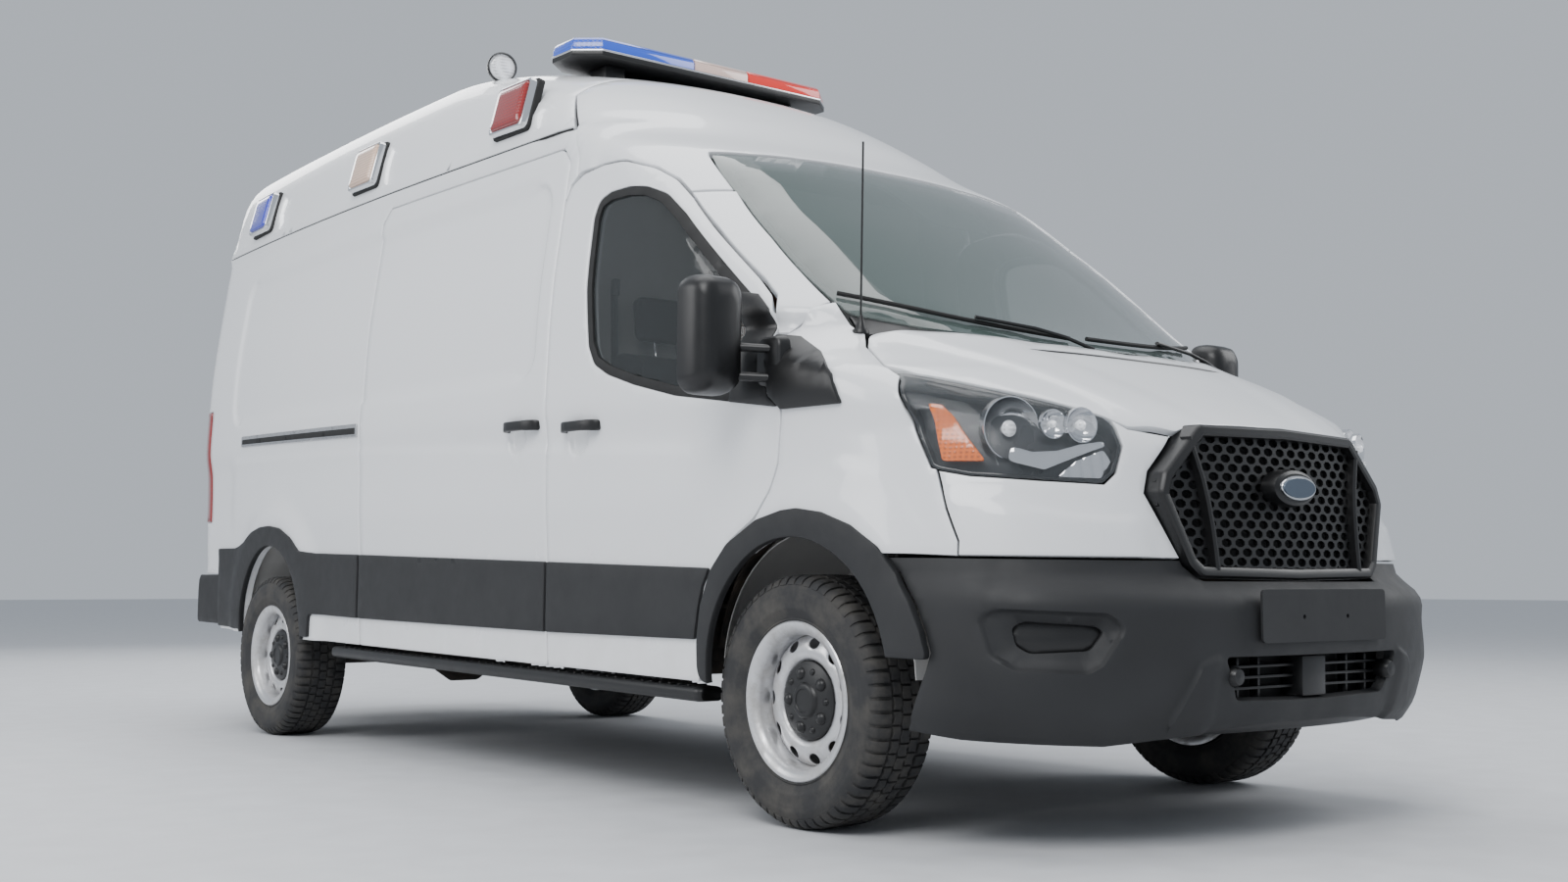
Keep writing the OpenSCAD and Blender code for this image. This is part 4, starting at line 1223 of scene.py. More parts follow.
def make_cladding():
    for side, s in SIDE_NAMES:
        door = rounded([(356, 721, 10), (1244, 731), (1294, 732, 6), (1294, 496, 6), (432, 508, 10), (412,
            604, 60), (392, 668, 60)], 8)
        band("door_band", door, side, "front_door_" + s)
        if side == RIGHT:
            band("slider_band", rounded([(1307, 496), (2779, 491), (2779, 748), (1307, 732)], 6), side,
                "van_body")
            start = 2792
        else:
            start = 1307
        rear = rounded([(start, 491, 6), (3255, 494, 30), (3275, 396, 10), (3345, 396, 10), (3345, 385, 5),
            (3756, 385, 0), (4160, 385, 5), (4170, 396, 10), (4548, 396, 8), (4548, 770, 8), (4300, 772,
            60), (4120, 800, 120), (3990, 846, 120), (3870, 868, 120), (3756, 873, 120), (3630, 862, 120),
            (3500, 820, 120), (3400, 762, 60), (3250, 752, 60), (start, 748 if side == RIGHT else 732, 6)],
            20)
        band("rear_arch_trim", rear, side, "van_body", node="cladding" if side == RIGHT else None,
            cuts=[circle(*REAR_ARCH, 400)], proud=14)
        outer = [p for p in [(417, 384), (417, 500), (398, 608), (346, 716), (262, 792), (123, 861), (11,
            886), (-55, 891), (-161, 879), (-283, 843), (-385, 786), (-446, 720), (-506, 645), (-542, 572),
            (-560, 514)]]
        lower = [(-556, 500), (-380, 500), (-300, 384)]
        loop = rounded([(*p, 60) for p in outer] + [(*p, 8) for p in lower], 60)
        band("front_arch_trim", loop, side, "van_body", cuts=[circle(*FRONT_ARCH, 401)], proud=14)


REAR_DOOR = [(6, 650, 10), (785, 650, 10), (785, 1550, 300), (728, 2180, 60), (670, 2232, 60), (6, 2232,
    10)]
REAR_WINDOW = [(130, 1420), (690, 1420), (690, 1560), (650, 1990), (610, 2030), (130, 2030)]


def make_rear_doors():
    for side, s in SIDE_NAMES:
        body = "rear_door_" + s
        ring = rounded(sided(REAR_DOOR, side))
        hole = rounded(sided(REAR_WINDOW, side), 50)

        def shape(q, p):
            x, z = np.abs(q[:, 0]), q[:, 1]
            dx, dz = np.abs(x - 400) - 270, np.abs(z - 1000) - 210
            d = np.hypot(np.maximum(dx, 0), np.maximum(dz, 0)) + np.minimum(np.maximum(dx, dz), 0) - 60
            return -9 * ease(d, 12, -12)

        line = rounded(sided([(70, 730), (730, 730), (730, 1270), (70, 1270)], side), 60, 14)
        panel("rear_door_skin_" + s, BACK, [ring, hole], [PAINT, PALE_LAMINATE], body=body, node=body,
            relief=shape, step=32, wall=45, back_mat=1, features=[(np.vstack([line, line[:1]]), (-12, 0,
            12))])
        panel("rear_window_" + s, BACK, [grown(hole, -8)], REAR_GLASS, body=body, node="rear_glass_" + s,
            wall=5, proud=-6, edge=1, fine=20, step=80)
        panel("rear_window_seal_" + s, BACK, [grown(hole, -1), grown(hole, -20)], SEAL, body=body, wall=12,
            proud=-1, edge=2, step=60)
        lamp = rounded([(4704, 900), (4841, 900), (4841, 1450), (4704, 1450)], 16)
        panel("tail_lamp_" + s, SIDES[side], [lamp], RED_LENS,
            node="tail_lights" if side == RIGHT else None, proud=4, wall=30, edge=6, step=30)


make_side_walls()
make_front_doors()
make_roof()
make_cab_frame()
make_windshield()
make_wings()
make_hood()
make_nose_panel()
make_front_bumper()
make_cladding()
make_rear_doors()

# ---- Repeated pieces ----

def repeat_tree():
    """A node tree that puts a piece on every point, turned by the point's own angles."""
    tree = bpy.data.node_groups.new("repeat_on_points", "GeometryNodeTree")
    face = tree.interface
    ids = {}
    for name, kind in (("Geometry", "NodeSocketGeometry"), ("Piece", "NodeSocketObject"),
                       ("Size", "NodeSocketFloat"), ("Finish", "NodeSocketMaterial")):
        ids[name] = face.new_socket(name, in_out="INPUT", socket_type=kind).identifier
    face.new_socket("Geometry", in_out="OUTPUT", socket_type="NodeSocketGeometry")
    make = tree.nodes.new
    start, end = make("NodeGroupInput"), make("NodeGroupOutput")
    info, place = make("GeometryNodeObjectInfo"), make("GeometryNodeInstanceOnPoints")
    turn = make("GeometryNodeInputNamedAttribute")
    turn.data_type = "FLOAT_VECTOR"
    turn.inputs["Name"].default_value = "turn"
    real, mat = make("GeometryNodeRealizeInstances"), make("GeometryNodeSetMaterial")
    link_up = tree.links.new
    link_up(start.outputs["Geometry"], place.inputs["Points"])
    link_up(start.outputs["Piece"], info.inputs["Object"])
    link_up(info.outputs["Geometry"], place.inputs["Instance"])
    link_up(turn.outputs["Attribute"], place.inputs["Rotation"])
    link_up(start.outputs["Size"], place.inputs["Scale"])
    link_up(place.outputs["Instances"], real.inputs["Geometry"])
    link_up(real.outputs["Geometry"], mat.inputs["Geometry"])
    link_up(start.outputs["Finish"], mat.inputs["Material"])
    link_up(mat.outputs["Geometry"], end.inputs["Geometry"])
    return tree, ids


REPEAT, REPEAT_IDS = repeat_tree()


def repeated(places, turns, shape, finish):
    """One small piece's shape repeated at places, each with its turns about X, Y, Z."""
    piece = new_object("one_piece", np.asarray(shape[0]) / 1000, shape[1])
    obj = new_object("places", np.asarray(places) / 1000)
    attribute = obj.data.attributes.new("turn", "FLOAT_VECTOR", "POINT")
    attribute.data.foreach_set("vector", np.asarray(turns, float).ravel())
    modifier = obj.modifiers.new("repeat", "NODES")
    modifier.node_group = REPEAT
    modifier[REPEAT_IDS["Piece"]] = piece
    modifier[REPEAT_IDS["Size"]] = 1.0
    modifier[REPEAT_IDS["Finish"]] = finish
    shown = obj.evaluated_get(bpy.context.evaluated_depsgraph_get())
    done = bpy.data.meshes.new_from_object(shown)
    out = mesh_points(done) * 1000, [tuple(p.vertices) for p in done.polygons]
    obj.modifiers.remove(modifier)
    bpy.data.objects.remove(obj)
    bpy.data.objects.remove(piece)
    bpy.data.meshes.remove(done)
    return out


def merged(*parts):
    """Points and faces of several parts as one."""
    pts, faces, base = [], [], 0
    for p, f in parts:
        pts.append(np.asarray(p, float))
        faces.extend(tuple(i + base for i in face) for face in f)
        base += len(p)
    return np.vstack(pts), faces


def lofted(loops, capped=True):
    """A skin through loops of equal length, closed at both ends."""
    n = len(loops[0])
    faces = []
    for k in range(len(loops) - 1):
        for i in range(n):
            j = (i + 1) % n
            faces.append((k * n + i, k * n + j, (k + 1) * n + j, (k + 1) * n + i))
    if capped:
        faces.append(tuple(range(n - 1, -1, -1)))
        faces.append(tuple((len(loops) - 1) * n + i for i in range(n)))
    return np.vstack(loops), faces


def lofted_ring(loops):
    """A skin through loops that goes on from the last one to the first."""
    _, faces = lofted(loops + loops[:1], capped=False)
    total = len(loops) * len(loops[0])
    return np.vstack(loops), [tuple(i % total for i in f) for f in faces]


def rounded_box(width, height, radius, n=5):
    """A centred rectangle outline with round corners, 4 (n + 1) points."""
    out = []
    for cx, cy, start in ((1, 1, 0), (-1, 1, 90), (-1, -1, 180), (1, -1, 270)):
        for k in range(n + 1):
            a = radians(start + 90 * k / n)
            out.append((cx * (width / 2 - radius) + radius * cos(a),
                cy * (height / 2 - radius) + radius * sin(a)))
    return np.array(out)


def stack(outline, levels):
    """Loops of a flat outline at several heights, each with its own scale along both ways."""
    return [np.column_stack([outline[:, 0] * s, outline[:, 1] * t, np.full(len(outline), z)]) for s, t,
        z in levels]


# ---- Wheels ----

def tyre_parts():
    wall = [(192.5, 79), (206, 90), (219, 97), (225, 101), (228, 104), (232, 101.5), (255, 113), (262,
        115.5), (268, 114.5), (285, 117.3), (292, 117.5), (300, 116.5), (304, 117.2), (309, 115.5), (322,
        113), (334, 105), (342, 96), (345, 70)]
    profile = [(r, z) for r, z in wall] + [(345.5, 0)] + [(r, -z) for r, z in wall[::-1]]
    body = spun(profile + [(192.5, 79)], 96)
    rows = [(0, 30, 56, 0.16, 345, 353.6), (33, 26, 56, -0.14, 345, 353.4), (-33, 26, 56, 0.14, 345, 353.4)]
    parts = [body]
    for z, width, count, slant, r0, r1 in rows:
        parts.append(tread_row(z, width, count, slant, r0, r1))
    for side in (1, -1):
        parts.append(shoulder_row(side, 60))
    return parts


def tread_row(z, width, count, slant, r0, r1):
    length = 2 * pi * r1 / count * 0.84
    base = np.array([(-length / 2, -width / 2 - slant * 18), (0, -width / 2 + slant * 18), (length / 2,
        -width / 2 - slant * 18), (length / 2, width / 2 - slant * 18), (0, width / 2 + slant * 18),
        (-length / 2, width / 2 - slant * 18)])
    loops = [np.column_stack([np.full(6, r), base[:, 0] * s, base[:, 1] * s + z]) for r, s in ((r0 - 2,
        1.03), (r1 - 1.2, 1.0), (r1, 0.93))]
    return ring_of(lofted(loops), count, RUBBER, abs(z) * 0.001)


def shoulder_row(side, count):
    length = 2 * pi * 350 / count * 0.72
    section = [(343, 56), (353.4, 57), (352.4, 78), (348.5, 94), (340, 106), (326, 113.5), (322, 108)]
    loops = []
    for y, s in ((-length / 2, 1.0), (-length / 2 + 1.5, 1.0), (length / 2 - 1.5, 1.0), (length / 2, 1.0)):
        trim = 1.2 if abs(y) > length / 2 - 1 else 0.0
        loops.append(np.array([(r - trim * (r > 345), y, side * (z - trim * 0.5)) for r, z in section]))
    return ring_of(lofted(loops), count, RUBBER, 0.02 * side)


def ring_of(shape, count, finish, phase=0.0):
    """A piece modelled at its radius along +X, repeated round the Z axis."""
    turns = [(0, 0, phase + 2 * pi * i / count) for i in range(count)]
    return repeated(np.zeros((count, 3)), turns, shape, finish)


def rim_parts():
    lip = [(221, 104), (224, 101), (221, 98), (206, 92), (193, 80), (191.5, 40), (191.5, -92), (221, -106),
        (221, -111), (205, -111), (187, -100), (184, 34), (186, 78), (194, 94), (206, 101), (214, 104),
        (221, 104)]
    barrel = spun(lip, 96)
    count = 11
    front = [(186, 28), (181, 38), (172, 47), (160, 54), (148, 58), (128, 58.5), (118, 54), (112, 44), (104,
        36), (70, 33), (20, 33)]
    r = np.array([p[0] for p in front][::-1], float)
    h = np.array([p[1] for p in front][::-1], float)
    u = 2 * pi / count * 165 / 2
    ring = resample([(-u, 20), (u, 20), (u, 186), (-u, 186)], 9)
    hole = np.array([(21.5 * cos(a), 162 + 15.5 * sin(a)) for a in np.linspace(0, 2 * pi, 24,
        endpoint=False)])
    lip_out = np.array([(25 * cos(a), 162 + 19 * sin(a)) for a in np.linspace(0, 2 * pi, 24,
        endpoint=False)])
    grid = np.stack(np.meshgrid(np.linspace(-u + 8, u - 8, 9), np.array([30, 50, 70, 90, 104, 108, 112, 115,
        118, 123, 128, 138, 148, 176, 181])), -1).reshape(-1, 2)
    flat, tris = triangles(np.vstack([grid, lip_out]), [ring, hole])
    tris = tris[~inside(hole, flat[tris].mean(1))]

    def shape(q, drop):
        a, rr = q[:, 0] / 165, q[:, 1]
        z = np.interp(rr, r, h) - drop
        near_hole = np.hypot(q[:, 0] / 25, (rr - 162) / 19)
        z = z - 2.0 * ease(near_hole, 1.02, 0.84)
        return np.column_stack([rr * np.cos(a), rr * np.sin(a), z])

    top, bottom = shape(flat, 0), shape(flat, 4)
    n = len(flat)
    faces = [tuple(t) for t in tris] + [tuple(t[::-1] + n) for t in tris]
    ids = [int(np.argmin(norm(flat - p, axis=1))) for p in hole]
    faces += [(a, b, b + n, a + n) for a, b in zip(ids, ids[1:] + ids[:1])]
    return [barrel, ring_of((np.vstack([top, bottom]), faces), count, WHEEL_STEEL)]


def cap_parts():
    dish = spun([(0.01, 34), (110, 34), (112, 46), (109, 53), (100, 57), (62, 64), (52, 65), (48, 71), (43,
        74), (34, 74), (32, 71), (0.01, 71)], 72)
    bump = spun([(0.01, 12), (9, 11), (15, 7), (18.5, 0), (19, -8), (0.01, -8)], 20)
    parts = [dish]
    for i in range(5):
        a = 2 * pi * i / 5
        parts.append((bump[0] + [78 * cos(a), 78 * sin(a), 60], bump[1]))
        a += pi / 5
        parts.append((bump[0] * [0.55, 0.55, 0.6] + [84 * cos(a), 84 * sin(a), 59], bump[1]))
    return parts


def make_wheels():
    tyre, rim, cap = merged(*tyre_parts()), merged(*rim_parts()), merged(*cap_parts())
    disc = spun([(40, -24), (148, -24), (148, -4), (60, -4), (60, 26), (33, 26), (33, -24), (40, -24)], 60)
    for side in (RIGHT, LEFT):
        for end, y in (("front", 0.0), ("rear", WHEELBASE)):
            s = side_name(side)
            where = (side * WHEEL_X * 1000, (y - LEAD) * 1000, WHEEL_Z * 1000)
            wheel = f"{end}_wheel_{s}"
            for kind, shape, mat, node in (("tyre", tyre, RUBBER, f"{end}_tyre_{s}"),
                                           ("rim", rim, WHEEL_STEEL, f"{end}_rim_{s}"),
                                           ("hub_cap", cap, SMOOTH_BLACK, None)):
                solid(f"{kind}_{end}_{s}", moved(shape, (0, 1, 0), (side, 0, 0), where), mat, body=wheel,
                    node=node, local=True, smooth=42)
            holder = f"knuckle_{s}" if end == "front" else "van_body"
            solid(f"brake_{end}_{s}", moved(disc, (0, 1, 0), (side, 0, 0), where), CHASSIS, body=holder,
                local=True)


# ---- Front end ----

LAMP_RING = [(937, 1262), (937, 991), (884, 974), (758, 964), (615, 956), (580, 985), (550, 1053), (546,
    1112), (552, 1134), (644, 1166), (775, 1206), (860, 1236)]


def bowl(side, centre, radius, depth):
    profile = [(radius, 0), (radius + 3, 0), (radius + 3, -depth * 0.5), (radius * 0.5, -depth - 4), (0.01,
        -depth - 4), (0.01, -depth), (radius * 0.3, -depth * 0.97), (radius * 0.62, -depth * 0.78),
        (radius * 0.88, -depth * 0.4), (radius, 0)]
    return moved(spun(profile, 36), (1, 0, 0), (side * 0.28, -1, 0.02), centre)


def make_headlights():
    for side, s in SIDE_NAMES:

        def at(points, radius=10):
            loop = rounded(sided(points, side), radius)
            return NOSE.flat(seen_front(loop))

        ring = at([(x, z, 22) for x, z in LAMP_RING], 22)
        ring = grown(ring, 2)
        panel("lamp_cover_" + s, NOSE, [ring], LAMP_GLASS, node="headlights" if side == RIGHT else None,
            proud=-2, wall=3, edge=1.5, step=30)
        panel("lamp_frame_" + s, NOSE, [grown(ring, -1), grown(ring, -10)], GLOSS_BLACK, proud=-6, wall=46,
            edge=2, step=40)
        panel("lamp_back_" + s, NOSE, [grown(ring, -4)], LAMP_GREY, proud=-50, wall=4, edge=1, step=40)
        panel("side_marker_" + s, NOSE, [at([(930, 1164), (906, 1160), (852, 1010), (921, 1010)], 6)],
            AMBER, proud=-8, wall=12, edge=3, step=20)

        def louvre(q, p):
            return 4 * np.abs(np.sin(p[:, 0] / 9.0))

        panel("turn_lamp_" + s, NOSE, [at([(716, 972), (665, 1014), (592, 1046), (578, 1014), (608, 970)],
            6)], CHROME, proud=-20, wall=10, edge=2, step=9, relief=louvre, fine=6)
        panel("lamp_blade_" + s, NOSE, [at([(812, 1012), (740, 990), (668, 1022), (586, 1056), (584, 1072),
            (650, 1060), (705, 1040), (760, 1036), (800, 1052)], 14)], CHROME, proud=-16, wall=8, edge=2,
            step=16)
        panel("lamp_brow_" + s, NOSE, [at([(905, 1232), (840, 1190), (735, 1180), (640, 1148), (565, 1124),
            (560, 1134), (640, 1160), (775, 1199), (865, 1232)], 6)], SMOOTH_BLACK, proud=-10, wall=10,
            edge=2, step=20)
        bowls = [bowl(side, (side * x, y, z), r, depth) for x, y, z, r, depth in ((768, -632, 1096, 82, 56),
            (632, -752, 1106, 44, 34), (690, -706, 1108, 36, 26))]
        solid("reflectors_" + s, merged(*bowls), CHROME, smooth=50)
        bulbs = []
        for cx, cy, cz, r in ((768, -622, 1096, 22), (632, -748, 1106, 15), (690, -702, 1108, 11)):
            b = spun([(0.01, 14), (r * 0.6, 11), (r, 0), (r * 0.8, -12), (r * 0.5, -28), (0.01, -28)], 20)
            bulbs.append(moved(b, (1, 0, 0), (side * 0.28, -1, 0.02), (side * cx, cy, cz)))
        solid("bulbs_" + s, merged(*bulbs), WHITE_LENS, smooth=50)


def grille_y(x, z):
    return -950 + 0.00016 * x * x + 0.11 * (z - 900)


def make_grille():
    ring = rounded([(p[0], p[1], 0 if p[0] == 0 else 34) for p in mirrored(GRILLE)])
    loops = []
    for inset, back in ((0, 66), (0, 14), (2, 5), (8, 0), (24, 0), (30, 4), (33, 14), (34, 66)):
        q = grown(ring, -inset)
        loops.append(np.column_stack([q[:, 0], grille_y(q[:, 0], q[:, 1]) + back, q[:, 1]]))
    solid("grille_surround", lofted_ring(loops), SMOOTH_BLACK, node="grille")
    inner = grown(ring, -30)
    col, row = 52.0, 25.0
    cells = [(c * col + (r % 2) * col / 2, 706 + r * row) for r in range(1, 17) for c in range(-11, 11)]
    cells = np.array(cells)
    cells = cells[inside(grown(inner, 8), cells)]
    rim = []
    for scale, back in ((1.0, 12), (1.0, 0), (0.72, 0), (0.72, 12)):
        w, h = col / 2 * scale * 0.98 + 2 * (scale == 1), row * 0.62 * scale + 1.5 * (scale == 1)
        shape = [(w, -h * 0.42), (w, h * 0.42), (w * 0.42, h), (-w * 0.42, h), (-w, h * 0.42), (-w,
            -h * 0.42), (-w * 0.42, -h), (w * 0.42, -h)]
        rim.append(np.array([(x, back, z) for x, z in shape]))
    places = np.column_stack([cells[:, 0], grille_y(cells[:, 0], cells[:, 1]) + 24, cells[:, 1]])
    turns = np.column_stack([np.full(len(cells), -0.11), 0 * cells[:, 0], 0.00032 * cells[:, 0]])
    solid("grille_mesh", repeated(places, turns, lofted_ring(rim), SMOOTH_BLACK), SMOOTH_BLACK)
    back = [np.column_stack([inner[:, 0], grille_y(inner[:, 0], inner[:, 1]) + d, inner[:,
        1]]) for d in (60, 66)]
    solid("grille_backing", lofted(back), SEAL)
    for side, s in SIDE_NAMES:
        blade = []
        for z, x in ((1082, 380), (1060, 374), (1020, 360), (970, 345), (910, 334), (850, 327), (790, 323),
                     (735, 322)):
            y = grille_y(x, z)
            section = [(-11, 30), (-9, 6), (-3, 1), (3, 1), (9, 6), (11, 30)]
            blade.append(np.array([(side * (x + u), y + v, z) for u, v in section]))
        solid("grille_blade_" + s, lofted(blade), SMOOTH_BLACK)
    pod = stack(circle(0, 0, 0.5, 48) * [196, 104], [(1.0, 1.0, 30), (1.0, 1.0, 4), (0.95, 0.92, -14),
        (0.84, 0.76, -20)])
    solid("badge_pod", lofted([np.column_stack([q[:, 0], q[:, 2] - 944, q[:, 1] + 958]) for q in pod]),
        SMOOTH_BLACK)
    for name, w, h, y0, y1, mat in (("badge_rim", 156, 68, -962, -971, CHROME),
                                    ("plain_badge", 144, 56, -965, -974, BADGE)):
        oval = circle(0, 0, 0.5, 48) * [w, h]
        plate = stack(oval, [(1, 1, y0), (1, 1, y1 + 2), (0.985, 0.96, y1)])
        solid(name, lofted([np.column_stack([q[:, 0], q[:, 2], q[:, 1] + 958]) for q in plate]), mat,
            slot="black_plastic")


def make_lower_grille():
    parts = []
    for z in (428, 456, 484):
        w = 345 + (z - 428) * 0.5
        parts.append(cuboid((-w, -985, z - 4), (w, -955, z + 4)))
    parts.append(prism([(-52, -1012), (52, -1012), (60, -950), (-60, -950)], 402, 508, 2))
    parts.extend(cuboid((x - 5, -980, 402), (x + 5, -952, 506)) for x in (-290, -200, 200, 290))
    solid("lower_grille_bars", merged(*parts), SMOOTH_BLACK, bevel=2.5, segments=2)
    solid("lower_grille_back", cuboid((-400, -945, 380), (400, -938, 530)), SEAL, bevel=1)
    for side, s in SIDE_NAMES:
        knob = spun([(0.01, 26), (20, 24), (26, 14), (27, -10), (20, -30), (0.01, -30)], 28)
        where = (side * 345, -1003, 462)
        solid("tow_eye_cover_" + s, moved(knob, (1, 0, 0), (0, -1, 0), where), SMOOTH_BLACK)
    dam = [(-620, 283, 20), (-540, 262, 10), (540, 262, 10), (620, 283, 20), (600, 330, 8), (-600, 330, 8)]
    panel("air_dam", NOSE, [NOSE.flat(seen_front(rounded([(x, max(z, 268), r) for x, z, r in dam])))],
        SMOOTH_BLACK, proud=-40, wall=12, step=50)


# ---- Mirrors, handles and trims on the sides ----

def make_mirrors():
    for side, s in SIDE_NAMES:
        body = "front_door_" + s
        outline = rounded_box(168, 342, 52, 7)
        levels = [(0.90, 0.93, 224), (0.985, 0.985, 228), (1.0, 1.0, 216), (1.0, 1.0, 188), (0.97, 0.975,
            160), (0.88, 0.92, 134), (0.70, 0.82, 118), (0.42, 0.62, 110)]
        loops = [np.column_stack([q[:, 0] + side * 1150, q[:, 2], q[:, 1] + 1384]) for q in stack(outline,
            levels)]
        solid("mirror_housing_" + s, lofted(loops), SMOOTH_BLACK, body=body, node="mirror_" + s, smooth=60)
        glass = []
        for w, h, cz in ((132, 200, 1440), (132, 84, 1282)):
            q = stack(rounded_box(w, h, 22), [(1, 1, 222), (1, 1, 229.5), (0.97, 0.97, 231)])
            glass.append(lofted([np.column_stack([g[:, 0] + side * 1150, g[:, 2], g[:,
                1] + cz]) for g in q]))
        solid("mirror_glass_" + s, merged(*glass), CHROME, body=body, slot="clear_glass")
        for name, za, zb, r in (("lower", 1262, 1268, 17), ("upper", 1345, 1352, 16)):
            path = [(side * 1010, 60, za), (side * 1040, 92, za + 2), (side * 1072, 128, (za + zb) / 2 + 2),
                (side * 1105, 160, zb)]
            tube(f"mirror_arm_{name}_{s}", path, r, SMOOTH_BLACK, body=body, n=14, flat=0.8, smooth=60)
        door_sail = rounded([(33, 1177), (262, 1206), (232, 1300), (222, 1400), (272, 1536), (205, 1524),
            (150, 1474), (126, 1398), (80, 1213)], 6)
        panel("mirror_sail_" + s, SIDES[side], [door_sail], SMOOTH_BLACK, body=body, proud=5, wall=20,
            edge=3, step=24)
        pad = [np.column_stack([np.full(24, side * x), q[:, 0] + 70, q[:, 1] + 1308]) for x, k in ((990,
            1.0), (1022, 0.96), (1030, 0.86)) for q in [rounded_box(110 * k, 150 * k, 30 * k)]]
        solid("mirror_foot_" + s, lofted(pad), SMOOTH_BLACK, body=body, smooth=60)
        wing_sail = [(-240, 1170), (20, 1170), (68, 1212), (110, 1390), (30, 1378), (-90, 1322), (-195,
            1256)]
        flat = from_side(rounded(wing_sail, 6), DECK, side)
        panel("wing_sail_" + s, DECK, [flat], SMOOTH_BLACK, proud=11, wall=24, edge=3, step=24)


def make_handle(name, side, y0, y1, z, body):
    base = seen_side([((y0 + y1) / 2, z)], side)[0]
    x0 = base[0] + side * 2
    loops = []
    for y, out, h in ((y0, 4, 10), (y0 + 3, 10, 15), (y0 + 14, 20, 18), (y0 + 40, 32, 18), (y0 + 70, 37, 17),
                      (y1 - 70, 37, 17), (y1 - 40, 32, 18), (y1 - 14, 20, 18), (y1 - 3, 10, 15), (y1, 4, 10)):
        thick = 14 if y0 + 30 < y < y1 - 30 else out + 12
        q = rounded_box(thick, 2 * h, min(6, thick / 2 - 0.5), 3)
        loops.append(np.column_stack([x0 + side * (out - thick / 2) + q[:, 0], np.full(len(q), y), q[:,
            1] + z]))
    solid(name, lofted(loops), SMOOTH_BLACK, body=body, smooth=50)


def make_side_trim():
    for side, s in SIDE_NAMES:
        make_handle("door_handle_" + s, side, 965, 1190, 1178, "front_door_" + s)
    make_handle("slider_handle", RIGHT, 1345, 1572, 1198, "van_body")
    rail = rounded([(2800, 1228), (4205, 1250), (4205, 1300), (2800, 1282)], 6)
    panel("slider_track", SIDES[RIGHT], [rail], ALUMINIUM, proud=7, wall=10, edge=2, step=60)
    slot = rounded([(2815, 1240), (4190, 1261), (4190, 1284), (2815, 1266)], 4)
    panel("slider_track_slot", SIDES[RIGHT], [slot], SEAL, proud=7.6, wall=4, edge=1, step=60)
    for side, s in SIDE_NAMES:
        us = np.concatenate([np.arange(1340, 4300, 80.0), np.linspace(4300, 4905, 14)])
        pts = SIDES[side].place(np.stack([us, 0 * us + 2240], 1))
        tube("gutter_seal_" + s, pts, 5, SEAL, n=6)
        loops = []
        for y in (442, 450, 470, 3050, 3070, 3078):
            k = 0.8 if y in (442, 3078) else 0.94 if y in (450, 3070) else 1.0
            q = rounded_box(98 * k, 46 * k, 18 * k)
            loops.append(np.column_stack([q[:, 0] + side * 934, np.full(len(q), y), q[:, 1] + 342]))
        solid("side_step_" + s, lofted(loops), SMOOTH_BLACK, node="side_steps" if side == RIGHT else None,
            smooth=50)
        spots = [(side * 934, y, 366) for y in range(520, 3020, 50)]
        ribs = repeated(spots, np.zeros((50, 3)), cuboid((-34, -5, -2), (34, 5, 2.5)), RUBBER)
        solid("step_ribs_" + s, ribs, RUBBER)
        for y in (700, 1700, 2700):
            block(f"step_bracket_{s}_{y}", (min(side * 820, side * 900), y, 352), (max(side * 820,
                side * 900), y + 60, 400), CHASSIS, 5)


# ---- Roof equipment ----

def make_light_bar():
    def ring(x0, x1, inset):
        half = 150 - inset
        end = 70 - inset * 0.4
        out = []
        for x, s in ((x0, -1), (x1, 1)):
            if abs(x) > 600:
                out.append([(s * (630 - inset), end), (s * (540 - inset * 0.4), half)])
            else:
                out.append([(x, half)])
        a, b = out
        top = a + b[::-1]
        return np.array([(u, v + 1893) for u, v in top] + [(u, 1893 - v) for u, v in top[::-1]])

    def lens(name, x0, x1, mat, slot, node=None):
        loops = []
        for inset, z in ((4, 2691), (0, 2694), (0, 2716), (6, 2734), (16, 2743), (30, 2746)):
            q = ring(x0, x1, inset)
            loops.append(np.column_stack([q, np.full(len(q), z)]))
        solid(name, lofted(loops), mat, node=node, slot=slot, bevel=2, segments=2)

    lens("light_bar_blue", -630, -110, BAR_BLUE, "blue_lamp", "light_bar")
    lens("light_bar_clear", -104, 160, BAR_CLEAR, "clear_lamp")
    lens("light_bar_red", 166, 630, BAR_RED, "red_lamp")
    q = ring(-630, 630, -3)
    solid("light_bar_base", lofted([np.column_stack([q, np.full(len(q), z)]) for z in (2668, 2689)]),
        SMOOTH_BLACK, bevel=3)
    q = ring(-630, 630, -5)
    solid("light_bar_trim", lofted([np.column_stack([q, np.full(len(q), z)]) for z in (2686, 2693)]),
        CHROME, slot="chassis_steel", bevel=2)
    for x in (-420, 420):
        block(f"light_bar_foot_{'right' if x < 0 else 'left'}", (x - 45, 1835, 2612), (x + 45, 1955, 2670),
            SMOOTH_BLACK, 8)


